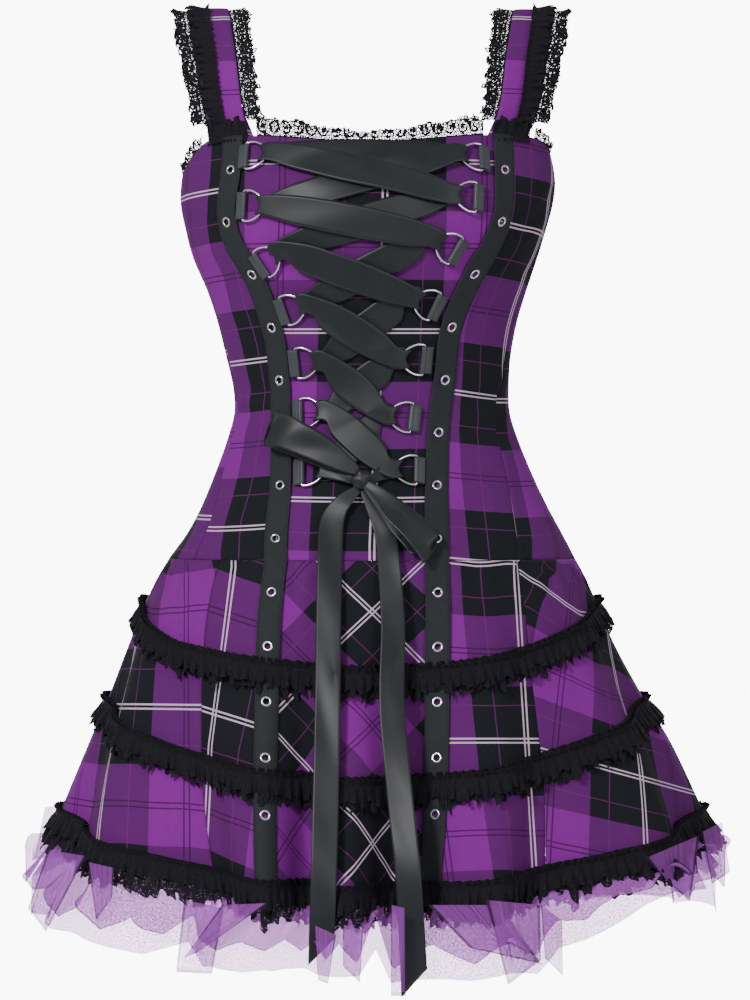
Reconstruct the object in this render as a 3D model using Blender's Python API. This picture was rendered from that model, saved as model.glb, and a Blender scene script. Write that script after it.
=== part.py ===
"""Plaid lace-up mini dress, as worn: a hollow garment with no wearer.

The frame has +Z up, the front towards -Y and +X at the viewer's right. The origin
lies between the tops of the two shoulder straps. Every size below is in millimetres;
heights are measured from the origin, so they are negative. Angles go round the body
in degrees: 0 is the front centre, 90 the viewer's right side, 180 the back centre.
"""
import bpy
import bmesh
import math
from mathutils import Vector

MM = 0.001
GAP = 0.3                  # space between pieces that touch
CLOTH = 1.6                # wall of the bodice and the straps
SKIRT_CLOTH = 2.2          # wall of the skirt, measured straight out
LACE = 1.0                 # wall of the lace and the tulle
WAIST_SEAM = -523.0        # height of the dropped waist seam

# Bodice sections
BODY = [
    # height, left half width, right half width, front depth, back depth
    (-100, 167, 164, 82, 90),
    (-130, 172, 168, 88, 93),
    (-163, 179, 174, 104, 100),
    (-186, 180, 172, 114, 103),
    (-212, 175, 165, 117, 102),
    (-238, 168, 157, 114, 98),
    (-268, 155, 147, 107, 92),
    (-298, 145, 138, 99, 86),
    (-330, 137, 132, 94, 80),
    (-361, 130, 130, 91, 77),
    (-384, 129, 131, 93, 79),
    (-408, 135, 138, 98, 86),
    (-447, 149, 154, 110, 100),
    (-476, 161, 168, 122, 114),
    (-500, 174, 181, 133, 126),
    (-523, 191, 193, 146, 140),
]
# Top edge of the bodice round the body
TOP_EDGE = [
    # angle, height
    (-180, -128), (-150, -124), (-129, -118), (-112, -140), (-90, -163), (-73, -144),
    (-62, -131), (-40, -129), (0, -137), (40, -128), (62, -127), (75, -132),
    (90, -141), (112, -133), (129, -118), (150, -124), (180, -128),
]
# Seams of the bodice
SEAMS = [
    # height, left band x, right band x, left side angle, right side angle
    (-100, -127, 122, -88, 84),
    (-161, -129, 123, -88, 84),
    (-204, -133, 121, -87, 84),
    (-232, -125, 110, -86, 82),
    (-258, -109, 95, -85, 79),
    (-307, -91, 74, -83, 75),
    (-354, -84, 68, -79, 70),
    (-401, -82.5, 62, -75, 60),
    (-452, -82.5, 60, -70, 55),
    (-502, -86, 59.5, -63, 48),
    (-523, -85.7, 59.2, -60, 44),
]
BACK_SEAM = 106.0          # angle of the seam between a side panel and a back
BODICE_ROWS = [-180, -225, -276, -330, -368, -390, -426, -476, WAIST_SEAM]
FIRST_ROW = 0.4            # share of the way from the top edge to the first fixed row
CENTRE_COLUMNS = 8
SIDE_FRONT_COLUMNS = 4
SIDE_COLUMNS = 4
SEAM_EASE = 0.05           # a little more than half the gap, at an end that is slanted
BACK_COLUMNS = 5

# Skirt sections, from the waist seam (0) to the hem (1)
SKIRT = [
    # share, left half width, right half width, front depth, back depth
    (0.00, 191, 193, 146, 140),
    (0.17, 213, 213, 165, 160),
    (0.33, 228, 229, 182, 178),
    (0.53, 246, 255, 203, 200),
    (0.71, 264, 281, 222, 222),
    (1.00, 292, 313, 247, 250),
]
# Flutes of the skirt, crests and valleys in turn round the body
FLUTES = [
    # name, angle at the waist, angle at the hem, how far it stands out at the hem
    ("back centre", -180, -180, 10),
    ("valley", -166, -166, -16),
    ("crest", -150, -150, 14),
    ("valley", -135, -135, -18),
    ("crest", -120, -120, 12),
    ("back seam", -106, -106, -12),
    ("left side", -93, -90, 5),
    ("valley", -82, -71, -6),
    ("left flank", -71, -50, 16),
    ("side seam", -60, -29.5, -14),
    ("left band", -27.5, -18, 12),
    ("valley", -19, -11.5, -32),
    ("centre", -4, -4.5, 9),
    ("valley", 10.5, 4, -38),
    ("right crest", 28, 18, 14),
    ("side seam", 44, 31, -14),
    ("right flank", 60, 51, 16),
    ("valley", 76, 72, -6),
    ("right side", 91, 90, 5),
    ("back seam", 106, 106, -12),
    ("crest", 120, 120, 12),
    ("valley", 135, 135, -18),
    ("crest", 150, 150, 14),
    ("valley", 166, 166, -16),
    ("back centre", 180, 180, 10),
]
FLUTE_GROWTH = 1.2         # power with which the flutes deepen towards the hem
LEFT_BAND_FLUTE = 10.1     # place of the left band seam, counted along FLUTES
RIGHT_BAND_FLUTE = 13.42
FLUTE_STEPS = {8: (0, .3, .55, .8), 9: (0, .3, .6, .85), 10: (.1, .6), 12: (0, .3, .55, .8),
               13: (0, .2, .42, .63, .82), 15: (0, .25, .5, .75), 16: (0, .25, .5, .75)}
THIRDS = (0, 1 / 3, 2 / 3)
HEM_FRONT, HEM_SIDE, HEM_BACK = -820.0, -770.0, -808.0

# Lace rows on the skirt: height of the sewn edge above the hem, at the front and side
ROW_1 = (198, 206)
ROW_2 = (101, 114)
ROW_DEPTH = 30
ROW_CELL = 45              # the skirt's own row below each lace row
ROW_STAND = 0.9            # how far a lace row's sewn edge stands off the skirt
ROW_WAVE = 7.0
HEM_LACE_ABOVE, HEM_LACE_BELOW = 8, 27

# Tulle frill under the hem
TULLE = [
    # name, how far inside the skirt, bottom half width left and right, depth, drop, point
    ("tulle_outer", 4.6, 331, 340, 288, 66, 15),
    ("tulle_inner", 7.4, 306, 320, 262, 84, 8),
]
TULLE_ABOVE, TULLE_BELOW = 20, 30

# Bands with eyelets over the princess seams
BAND_HALF = 11.0
BAND_WALL = 1.2
BAND_OFF = 0.8
BAND_EDGE_OFF = 3.9        # over the ring tape
BAND_SKIRT_OFF = 2.9       # over the lace rows
BAND_END = 10.0            # above the hem
EYELET_TOP, EYELET_PITCH, EYELET_COUNT = -161.0, 48.8, 13
EYELET_HOLE = 2.7
EYELET_RADII = (2.9, 1.95)
EYELET_CELL = 7.0

# D-rings, their tape and the ribbon through them
RINGS = {
    # side: (x, height) of each ring from the top
    "L": [(-104.6, -149.5), (-106.4, -196.4), (-91.7, -244.2), (-69.7, -289.2),
          (-57.8, -339.7), (-54.1, -387.5), (-52.2, -441.7)],
    "R": [(91.5, -151.4), (85.6, -188.6), (68.1, -233.1), (48.8, -284.6),
          (37.8, -337.0), (26.8, -391.1), (31.4, -440.8)],
}
RING_WIRE = 1.25           # radius of the wire
RING_HALF_HEIGHT = 14.75   # to the middle of the wire
RING_HALF_WIDTH = 10.25
RING_OFF = 4.8             # middle of the wire off the panel
RING_ARC = 7
TAB_HALF = 12.5
TAPE_IN, TAPE_OUT = 6.5, 11.6
TAPE_CLEAR = 0.25          # rows of cloth from the tape's end to where the band drops
BAND_STEP = 0.6            # rows over which it drops
TAPE_OFF, TAPE_WALL = 1.3, 1.0
RIBBON = 1.0
RIBBON_HALF = 11.5
UNDER, OVER = 2.0, 6.9    # the ribbon's two layers at a ring
UNDER_LIFT = 0.9           # more room under a strip between its rings
RIBBON_PITCH = 22.0        # spacing of the ribbon's stations between two rings
TURN_HALF = 8.0
TURN_U = (3.4, 7.6, 3.4)   # where the ribbon turns, across its width
LEAVE_U = 15.5
KNOT = (-8.0, -453.0, 11.0)
KNOT_HALF = (8.0, 6.0, 9.0)
KNOT_SIDE = 8.0            # where the laced ribbon meets the knot

# Straps: the right one, the left one mirrors it
STRAP_HALF = 19.0
STRAP_FOOT = (60.0, 74.6)  # compass angles of its front foot
STRAP_BACK_FOOT = (121.4, 106.3)
STRAP = [
    # x, y, height, turn of its width in degrees
    (139, -42, -95, 24), (145, -32, -55, 14), (150.5, -20, -22, 7), (153.5, -7, -5, 2),
    (155, 9, -1, 0), (154, 25, -11, -4), (150, 43, -42, -12), (144, 56, -82, -20),
]
STRAP_LACE_IN, STRAP_LACE_OUT = 20.0, 15.0
STRAP_WAVE = 4.0
EDGE_WAVE = 3.0
STRAP_LACE_START = 0.75    # where the strap's side lace starts and ends, in strap rows
STRAP_LACE_OFF = 0.9       # side lace off the strap's edge
ARMHOLE_MIDDLE = (140.0, 8.0, -90.0)
STRAP_LIFT = 0.8           # foot of a strap above the highest point of the edge below it
EDGE_LACE_OFF = 0.9        # lace above the edge it is sewn to
NECK_LACE = [
    # angle, how high the lace stands over the edge
    (-57, 16), (-35, 11), (0, 9), (35, 11), (57, 16),
]


def smooth(rows, at, column):
    """Read a column of a table at a place in its first column, along a smooth curve."""
    last = len(rows) - 1
    at = min(max(at, min(rows[0][0], rows[last][0])), max(rows[0][0], rows[last][0]))
    down = rows[last][0] < rows[0][0]
    k = 0
    while k < last - 1 and (rows[k + 1][0] > at if down else rows[k + 1][0] < at):
        k += 1

    def slope(i):
        low, high = rows[max(i - 1, 0)], rows[min(i + 1, last)]
        return (high[column] - low[column]) / (high[0] - low[0])
    span = rows[k + 1][0] - rows[k][0]
    t = (at - rows[k][0]) / span
    return ((2 * t ** 3 - 3 * t ** 2 + 1) * rows[k][column] + (t ** 3 - 2 * t ** 2 + t) * span * slope(k)
            + (3 * t ** 2 - 2 * t ** 3) * rows[k + 1][column] + (t ** 3 - t ** 2) * span * slope(k + 1))


def section(angle, sizes, height, out):
    """A point on an oval section, moved straight out, and its outward direction."""
    left, right, front, back = sizes
    turn = math.radians(angle)
    wide = right if math.sin(turn) > 0 else left
    deep = front if math.cos(turn) > 0 else back
    x, y = wide * math.sin(turn), -deep * math.cos(turn)
    away = Vector((deep * math.sin(turn), -wide * math.cos(turn), 0)).normalized()
    return Vector((x, y, height)) + away * out, away


def body_sizes(height):
    return [smooth(BODY, height, column) for column in (1, 2, 3, 4)]


def body_point(angle, height, out=0.0):
    return section(angle, body_sizes(height), height, out)[0]


def body_away(angle, height):
    return section(angle, body_sizes(height), height, 0)[1]


def angle_at(x, height):
    left, right, _, _ = body_sizes(height)
    return math.degrees(math.asin(x / (right if x > 0 else left)))


def seam_angle(name, height):
    """Angle of a bodice seam at a height."""
    if name == "band_L":
        return angle_at(smooth(SEAMS, height, 1), height)
    if name == "band_R":
        return angle_at(smooth(SEAMS, height, 2), height)
    if name == "side_L":
        return smooth(SEAMS, height, 3)
    if name == "side_R":
        return smooth(SEAMS, height, 4)
    return {"back_L": -BACK_SEAM, "back_R": BACK_SEAM, "rear_L": -180.0, "rear_R": 180.0}[name]


def top_of(angle):
    return smooth(TOP_EDGE, angle, 1)


def bodice_line(first, second, share):
    """A line of points down the bodice, part of the way from one seam to another."""
    angle = 0.0
    height = -130.0
    for _ in range(4):
        low, high = seam_angle(first, height), seam_angle(second, height)
        angle = low + (high - low) * share
        height = top_of(angle)
    heights = [height, height + (BODICE_ROWS[0] - height) * FIRST_ROW] + BODICE_ROWS
    line = []
    for z in heights:
        low, high = seam_angle(first, z), seam_angle(second, z)
        angle = low + (high - low) * share
        line.append((body_point(angle, z), body_away(angle, z)))
    return line


def hem_height(angle):
    end = HEM_FRONT if math.cos(math.radians(angle)) > 0 else HEM_BACK
    return HEM_SIDE + (end - HEM_SIDE) * math.cos(math.radians(angle)) ** 2


def blend(front_side, angle):
    """A size that changes from the front and back to the sides."""
    front, side = front_side
    return side + (front - side) * math.cos(math.radians(angle)) ** 2


def flute(place):
    """Waist angle, hem angle and height of the flutes at a place along FLUTES."""
    k = min(int(place), len(FLUTES) - 2)
    share = place - k
    low, high = FLUTES[k], FLUTES[k + 1]
    ease = (1 - math.cos(math.pi * share)) / 2
    return (low[1] + (high[1] - low[1]) * share, low[2] + (high[2] - low[2]) * share,
            low[3] + (high[3] - low[3]) * ease)


def skirt_point(place, share, out=0.0):
    waist, hem, crest = flute(place)
    angle = waist + (hem - waist) * share
    height = WAIST_SEAM + (hem_height(angle) - WAIST_SEAM) * share
    sizes = [smooth(SKIRT, min(share, 1.0), column) for column in (1, 2, 3, 4)]
    return section(angle, sizes, height, crest * share ** FLUTE_GROWTH + out)


def skirt_line(place):
    """A line of points down the skirt, through the sewn edges of the lace rows."""
    _, hem, _ = flute(place)
    full = WAIST_SEAM - GAP - hem_height(hem)
    above = [blend(ROW_1, hem), blend(ROW_1, hem) - ROW_CELL, blend(ROW_2, hem),
             blend(ROW_2, hem) - ROW_CELL]
    shares = [0, (1 - above[0] / full) / 2] + [1 - size / full for size in above] + [1]
    line = [skirt_point(place, share) for share in shares]
    return [(point - Vector((0, 0, GAP)), away) for point, away in line]


ROW_1_ROW, ROW_2_ROW, HEM_ROW = 2, 4, 6


def along(line, row):
    """A point and outward direction on a line, with the row given as a number."""
    k = min(max(int(row), 0), len(line) - 2)
    share = row - k
    return line[k][0].lerp(line[k + 1][0], share), line[k][1].lerp(line[k + 1][1], share).normalized()


def below(line, row, distance):
    """The row that lies a distance further down a line."""
    k = min(int(row), len(line) - 2)
    return row + distance / (line[k + 1][0] - line[k][0]).length


def row_of(line, height):
    """The row at which a line passes a height."""
    for k in range(len(line) - 1):
        high, low = line[k][0].z, line[k + 1][0].z
        if low <= height:
            return k + (high - height) / (high - low)
    return float(len(line) - 1)


def paint(name, colour, rough, metal=0.0):
    material = bpy.data.materials.new(name)
    material.use_nodes = True
    shader = material.node_tree.nodes["Principled BSDF"]
    shader.inputs["Base Color"].default_value = (*colour, 1)
    shader.inputs["Roughness"].default_value = rough
    shader.inputs["Metallic"].default_value = metal
    return material


def add(name, points, faces, material):
    """Make a named object from points in millimetres and its faces."""
    mesh = bpy.data.meshes.new(name)
    mesh.from_pydata([tuple(point * MM) for point in points], [], faces)
    body = bmesh.new()
    body.from_mesh(mesh)
    bmesh.ops.recalc_face_normals(body, faces=body.faces)
    body.to_mesh(mesh)
    body.free()
    mesh.shade_smooth()
    mesh.set_sharp_from_angle(angle=math.radians(50))
    mesh.materials.append(material)
    thing = bpy.data.objects.new(name, mesh)
    bpy.context.scene.collection.objects.link(thing)
    return thing


def wall(name, outer, inner, material, ring=False, holes=(), hole=(0.3, 0.7, 0.35, 0.75)):
    """A closed wall between two grids of points, with a hole in each cell of holes."""
    rows, columns = len(outer), len(outer[0])
    points = [p for row in outer for p in row] + [p for row in inner for p in row]
    layer = rows * columns
    faces = []

    def at(side, row, column):
        return side * layer + row * columns + column % columns

    def inside(corners, u, v):
        top = points[corners[0]].lerp(points[corners[3]], u)
        low = points[corners[1]].lerp(points[corners[2]], u)
        return top.lerp(low, v)

    cells = columns if ring else columns - 1
    for row in range(rows - 1):
        for column in range(cells):
            loops = []
            for side in (0, 1):
                corners = [at(side, row, column), at(side, row + 1, column),
                           at(side, row + 1, column + 1), at(side, row, column + 1)]
                if (row, column) not in holes:
                    faces.append(corners)
                    continue
                u0, u1, v0, v1 = hole
                first = len(points)
                points.extend(inside(corners, u, v) for u, v in ((u0, v0), (u0, v1), (u1, v1), (u1, v0)))
                loop = [first, first + 1, first + 2, first + 3]
                faces.extend([corners[k], corners[(k + 1) % 4], loop[(k + 1) % 4], loop[k]] for k in range(4))
                loops.append(loop)
            if loops:
                faces.extend([loops[0][k], loops[0][(k + 1) % 4], loops[1][(k + 1) % 4], loops[1][k]]
                             for k in range(4))
    for column in range(cells):
        for row in (0, rows - 1):
            faces.append([at(0, row, column), at(0, row, column + 1), at(1, row, column + 1), at(1, row, column)])
    if not ring:
        for row in range(rows - 1):
            for column in (0, columns - 1):
                faces.append([at(0, row, column), at(0, row + 1, column), at(1, row + 1, column),
                              at(1, row, column)])
    return add(name, points, faces, material)


def cloth_panel(name, lines, thick, material):
    """A panel between two seams: its edges stay half a gap back from each seam."""
    outer = []
    for row in range(len(lines[0])):
        points = [line[row][0].copy() for line in lines]
        for end, step in ((0, 1), (-1, -2)):
            towards = (points[step] - points[end]).normalized()
            points[end] = points[end] + towards * (GAP / 2 + SEAM_EASE)
        outer.append(points)
    inner = [[p - line[row][1] * thick for p, line in zip(points, lines)]
             for row, points in enumerate(outer)]
    return wall(name, outer, inner, material)


def bodice_lines(first, second, columns):
    return [bodice_line(first, second, k / columns) for k in range(columns + 1)]


def build_bodice(plaid):
    plan = [
        ("bodice_back_L", "rear_L", "back_L", BACK_COLUMNS),
        ("bodice_side_L", "back_L", "side_L", SIDE_COLUMNS),
        ("bodice_side_front_L", "side_L", "band_L", SIDE_FRONT_COLUMNS),
        ("bodice_front_center", "band_L", "band_R", CENTRE_COLUMNS),
        ("bodice_side_front_R", "band_R", "side_R", SIDE_FRONT_COLUMNS),
        ("bodice_side_R", "side_R", "back_R", SIDE_COLUMNS),
        ("bodice_back_R", "back_R", "rear_R", BACK_COLUMNS),
    ]
    lines = {}
    for name, first, second, columns in plan:
        lines[name] = bodice_lines(first, second, columns)
        cloth_panel(name, lines[name], CLOTH, plaid)
    return lines


def skirt_places():
    places = []
    for k in range(len(FLUTES) - 1):
        places.extend(k + share for share in FLUTE_STEPS.get(k, THIRDS))
    return places


def build_skirt(plaid):
    places = skirt_places()
    lines = [skirt_line(place) for place in places]
    seams = [0, 5, 9, LEFT_BAND_FLUTE, RIGHT_BAND_FLUTE, 15, 19, len(FLUTES) - 1]
    names = ["skirt_back_L", "skirt_side_L", "skirt_front_L", "skirt_front_center",
             "skirt_front_R", "skirt_side_R", "skirt_back_R"]
    for name, first, second in zip(names, seams, seams[1:]):
        chosen = [line for place, line in zip(places, lines) if first - 0.001 < place < second + 0.001]
        if second == seams[-1]:
            chosen.append(lines[0])
        cloth_panel(name, chosen, SKIRT_CLOTH, plaid)
    return places, lines


def lace_ring(name, lines, row, depth, quiet, material):
    """A gathered lace row: its sewn edge on the skirt and its lower edge in waves."""
    top_out, top_in, low_out, low_in = [], [], [], []
    for k, line in enumerate(lines):
        point, away = along(line, row)
        low, low_away = along(line, below(line, row, depth))
        wave = ROW_WAVE if k % 2 and k not in quiet else 0.0
        top_in.append(point + away * ROW_STAND)
        top_out.append(point + away * (ROW_STAND + LACE))
        low_in.append(low + low_away * (ROW_STAND + wave))
        low_out.append(low + low_away * (ROW_STAND + wave + LACE))
    wall(name, [top_out, low_out], [top_in, low_in], material, ring=True)


def hem_lace(name, lines, first, last, material):
    """Half of the hem lace, with a gap cut through every second cell."""
    grids = [[], []], [[], []]
    for k in range(first, last + 1):
        line = lines[k % len(lines)]
        upper = below(line, HEM_ROW - 1, (line[-1][0] - line[-2][0]).length - HEM_LACE_ABOVE)
        point, away = along(line, upper)
        down = (line[-1][0] - line[-2][0]).normalized()
        low = line[-1][0] + down * HEM_LACE_BELOW
        wave = ROW_WAVE if k % 2 else 0.0
        aside = Vector((0, 0, 0))
        if k in (first, last):
            side = 1 if k == first else -1
            aside = Vector((-away.y, away.x, 0)) * side * GAP / 2
        for layer, thick in ((0, LACE), (1, 0.0)):
            grids[layer][0].append(point + away * (ROW_STAND + thick) + aside)
            grids[layer][1].append(low + away * (ROW_STAND + wave + thick) + aside)
    holes = {(0, column) for column in range(0, last - first, 2)}
    wall(name, grids[0], grids[1], material, holes=holes, hole=(.32, .68, .55, .8))


def build_skirt_lace(places, lines, lace):
    quiet = set()
    for seam in (LEFT_BAND_FLUTE, RIGHT_BAND_FLUTE):
        k = min(range(len(places)), key=lambda i: abs(places[i] - seam))
        quiet.update((k - 1, k, k + 1))
    lace_ring("lace_row_1", lines, ROW_1_ROW, ROW_DEPTH, quiet, lace)
    lace_ring("lace_row_2", lines, ROW_2_ROW, ROW_DEPTH, quiet, lace)
    left, right = places.index(6), places.index(18)
    hem_lace("hem_lace_front", lines, left, right, lace)
    hem_lace("hem_lace_back", lines, right, left + len(lines), lace)


def build_tulle(places, lines, net):
    """Two rings of tulle inside the hem, each with a pointed lower edge."""
    for number, (name, inside, left, right, deep, drop, point_size) in enumerate(TULLE):
        outer = [[], [], []]
        inner = [[], [], []]
        for k, (place, line) in enumerate(zip(places, lines)):
            upper = below(line, HEM_ROW - 1, (line[-1][0] - line[-2][0]).length - TULLE_ABOVE)
            top, away = along(line, upper)
            down = (line[-1][0] - line[-2][0]).normalized()
            middle = line[-1][0] + down * TULLE_BELOW
            _, angle, crest = flute(place)
            swing = math.sin(k * (0.9 + 0.25 * number)) + 0.6 * math.sin(k * 0.47 + number)
            height = hem_height(angle) - drop - point_size * swing
            low, low_away = section(angle, (left, right, deep, deep), height, crest * 0.8)
            for row, (spot, direction, out) in enumerate(
                    ((top, away, -inside), (middle, away, -inside), (low, low_away, 0))):
                outer[row].append(spot + direction * out)
                inner[row].append(spot + direction * (out - LACE))
        wall(name, outer, inner, net, ring=True)


def sewn_lines(bodice, places, skirt, side):
    """The seam under a band with its neighbours on both sides, from the neck to the hem."""
    inner, outer = bodice["bodice_front_center"], bodice["bodice_side_front_" + side]
    seam = LEFT_BAND_FLUTE if side == "L" else RIGHT_BAND_FLUTE
    k = min(range(len(places)), key=lambda i: abs(places[i] - seam))
    if side == "L":
        upper = [outer[-2], inner[0], inner[1]]
    else:
        upper = [inner[-2], inner[-1], outer[1]]
    return upper, [skirt[k - 1], skirt[k], skirt[k + 1]]


def strip_points(lines, row, offsets):
    """Points on a seam and beside it; offsets gives (distance across, height off) pairs."""
    left, middle, right = [along(line, row)[0] for line in lines]
    up = along(lines[1], max(row - 0.2, 0))[0] - along(lines[1], min(row + 0.2, len(lines[1]) - 1))[0]
    normal = up.cross(right - left).normalized()
    if normal.dot(along(lines[1], row)[1]) < 0:
        normal = -normal
    points = []
    for across, off in offsets:
        side = left if across < 0 else right
        towards = (side - middle).normalized() if abs(across) > 0 else Vector((0, 0, 0))
        points.append(middle + towards * abs(across) + normal * off)
    return points, normal


def tape_rows(side, line):
    """Rows of the ring tape: the two ends of each tab."""
    rows = []
    for _, height in RINGS[side]:
        rows.append((row_of(line, height + TAB_HALF), row_of(line, height - TAB_HALF)))
    return rows


def band_stations(lines, tape_end):
    """Rows of a band: the cloth's own rows and both ends of each eyelet's cell."""
    upper, lower = lines
    stations = []
    eyelets = [EYELET_TOP - EYELET_PITCH * k for k in range(EYELET_COUNT)]
    for part, grid in (("bodice", upper), ("skirt", lower)):
        seam = grid[1]
        high, low = seam[0][0].z, seam[-1][0].z
        end = len(seam) - 1.0
        if part == "skirt":
            end = row_of(seam, seam[-1][0].z + BAND_END)
        rows = {float(k): None for k in range(len(seam)) if k < end}
        rows[end] = None
        for height in eyelets:
            if low < height < high:
                rows[row_of(seam, height + EYELET_CELL)] = "eyelet"
                rows[row_of(seam, height - EYELET_CELL)] = None
        if part == "bodice":
            rows[tape_end] = None
        else:
            del rows[0.0]
        stations.extend((part, row, rows[row]) for row in sorted(rows))
    return stations


def build_band(side, lines, cloth):
    """A band with a hole for each eyelet, over the ring tape and the lace rows."""
    name = "band_" + side
    tape_end = tape_rows(side, lines[0][1])[-1][1] + TAPE_CLEAR
    points, faces, holes = [], [], []
    stations = band_stations(lines, tape_end)
    for part, row, _ in stations:
        grid = lines[0] if part == "bodice" else lines[1]
        if part == "skirt" or row > tape_end + BAND_STEP:
            offs = [BAND_SKIRT_OFF] * 3
        else:
            edge = BAND_EDGE_OFF
            offs = [BAND_OFF, BAND_OFF, edge] if side == "L" else [edge, BAND_OFF, BAND_OFF]
        places = list(zip((-BAND_HALF, 0, BAND_HALF), offs))
        low, normal = strip_points(grid, row, places)
        points.extend([p + normal * BAND_WALL for p in low] + low)
    for k in range(len(stations) - 1):
        a, b = 6 * k, 6 * (k + 1)
        faces += [[a, b, b + 3, a + 3], [a + 2, b + 2, b + 5, a + 5]]
        if stations[k][2] != "eyelet":
            for shift in (0, 3):
                faces += [[a + shift, b + shift, b + shift + 1, a + shift + 1],
                          [a + shift + 1, b + shift + 1, b + shift + 2, a + shift + 2]]
            continue
        loops = []
        for shift in (0, 3):
            edge = [a + shift, a + shift + 1, a + shift + 2, b + shift + 2, b + shift + 1, b + shift]
            middle = (points[a + shift + 1] + points[b + shift + 1]) / 2
            up = (points[a + shift + 1] - points[b + shift + 1]).normalized()
            first = len(points) + len(holes)
            for corner, turn in zip(edge, (150, 90, 30, -30, -90, -150)):
                c, s = math.cos(math.radians(turn)), math.sin(math.radians(turn))
                half = points[a + shift + (2 if c > 0 else 0)] + points[b + shift + (2 if c > 0 else 0)]
                across = (half / 2 - middle).normalized() if abs(c) > 0.1 else Vector((0, 0, 0))
                holes.append(middle + across * abs(c) * EYELET_HOLE + up * s * EYELET_HOLE)
            loop = list(range(first, first + 6))
            loops.append(loop)
            faces += [[edge[j], edge[(j + 1) % 6], loop[(j + 1) % 6], loop[j]] for j in range(6)]
        faces += [[loops[0][j], loops[0][(j + 1) % 6], loops[1][(j + 1) % 6], loops[1][j]] for j in range(6)]
    count = len(points)
    end = 6 * (len(stations) - 1)
    for a in (0, end):
        faces += [[a, a + 1, a + 4, a + 3], [a + 1, a + 2, a + 5, a + 4]]
    return add(name, points[:count] + holes, faces, cloth)


def ring_frame(side, number, lines):
    """A ring's own frame on the panel: middle, towards the centre, up and out."""
    x, height = RINGS[side][number]
    angle = angle_at(x, height)
    origin = body_point(angle, height)
    rise = body_point(angle, height + 2) - body_point(angle, height - 2)
    turn = body_point(angle + 1, height) - body_point(angle - 1, height)
    out = turn.cross(rise).normalized()
    seam = lines[0][1]
    lean = along(seam, row_of(seam, height + 12))[0] - along(seam, row_of(seam, height - 12))[0]
    up = (lean - out * lean.dot(out)).normalized()
    inward = up.cross(out).normalized()
    if inward.x * x > 0:
        inward = -inward
    return origin, inward, up, out


def local(frame, u, v, off):
    origin, inward, up, out = frame
    return origin + inward * u + up * v + out * off


def build_ring(name, frame, metal):
    """A D-ring: a straight bar on the outer side and a bow towards the centre."""
    path = []
    for k in range(RING_ARC + 1):
        turn = math.pi / 2 - math.pi * k / RING_ARC
        path.append((-RING_HALF_WIDTH + 2 * RING_HALF_WIDTH * math.cos(turn), RING_HALF_HEIGHT * math.sin(turn)))
    sides = 5
    points = []
    for k, (u, v) in enumerate(path):
        before, after = Vector(path[k - 1]), Vector(path[(k + 1) % len(path)])
        into, away = (Vector((u, v)) - before).normalized(), (after - Vector((u, v))).normalized()
        along_path = (into + away).normalized()
        outward = Vector((-along_path.y, along_path.x))
        spread = 1 / max(math.sqrt((1 + into.dot(away)) / 2), 0.5)
        for j in range(sides):
            turn = 2 * math.pi * j / sides
            shift = outward * math.cos(turn) * RING_WIRE * spread
            points.append(local(frame, u + shift.x, v + shift.y, RING_OFF + RING_WIRE * math.sin(turn)))
    count = len(path)
    faces = [[k * sides + j, k * sides + (j + 1) % sides, ((k + 1) % count) * sides + (j + 1) % sides,
              ((k + 1) % count) * sides + j] for k in range(count) for j in range(sides)]
    add(name, points, faces, metal)


def build_tape(side, lines, frames, satin):
    """The tape under a band's inner edge, with a loop round each ring's bar."""
    sign = 1 if side == "L" else -1
    seam = lines[0][1]
    tabs = tape_rows(side, seam)
    rows = sorted({float(k): 0 for k in range(len(seam)) if tabs[0][0] < k < tabs[-1][1]}
                  | {row: 0 for pair in tabs for row in pair})
    points, faces = [], []
    for row in rows:
        low, normal = strip_points(lines[0], row, [(sign * TAPE_IN, TAPE_OFF), (sign * TAPE_OUT, TAPE_OFF)])
        points += [low[0] + normal * TAPE_WALL, low[1] + normal * TAPE_WALL, low[0], low[1]]
    tab_tops = {rows.index(top): (rows.index(low), number) for number, (top, low) in enumerate(tabs)}
    inside_tab = {k for top, (low, _) in tab_tops.items() for k in range(top, low)}
    for k in range(len(rows) - 1):
        a, b = 4 * k, 4 * (k + 1)
        faces += [[a, b, b + 1, a + 1], [a + 2, a + 3, b + 3, b + 2], [a, a + 2, b + 2, b]]
        if k not in inside_tab:
            faces.append([a + 1, b + 1, b + 3, a + 3])
    end = 4 * (len(rows) - 1)
    faces += [[0, 1, 3, 2], [end, end + 1, end + 3, end + 2]]
    turns = [150, 90, 30, -30, -90, -150]
    for top, (low, number) in tab_tops.items():
        frame = frames[number]
        loops = []
        for row_index, v in ((top, TAB_HALF), (low, -TAB_HALF)):
            neck_out, neck_in = 4 * row_index + 1, 4 * row_index + 3
            first = len(points)
            for radius in EYELET_RADII:
                for turn in turns:
                    points.append(local(frame, -RING_HALF_WIDTH + radius * math.cos(math.radians(turn)), v,
                                        RING_OFF + radius * math.sin(math.radians(turn))))
            outer, inner = list(range(first, first + 6)), list(range(first + 6, first + 12))
            faces += [[outer[j], outer[(j + 1) % 6], inner[(j + 1) % 6], inner[j]] for j in range(6)]
            faces.append([outer[0], neck_out, neck_in, outer[5]])
            loops.append((outer, inner, neck_out, neck_in))
        (outer_a, inner_a, out_a, in_a), (outer_b, inner_b, out_b, in_b) = loops
        faces += [[outer_a[j], outer_a[j + 1], outer_b[j + 1], outer_b[j]] for j in range(5)]
        faces += [[inner_a[j], inner_a[(j + 1) % 6], inner_b[(j + 1) % 6], inner_b[j]] for j in range(6)]
        inner_rows = range(top, low + 1)
        faces.append([outer_a[0]] + [4 * k + 1 for k in inner_rows] + [outer_b[0]])
        faces.append([outer_a[5]] + [4 * k + 3 for k in inner_rows] + [outer_b[5]])
    add("ring_tape_" + side, points, faces, satin)


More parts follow.
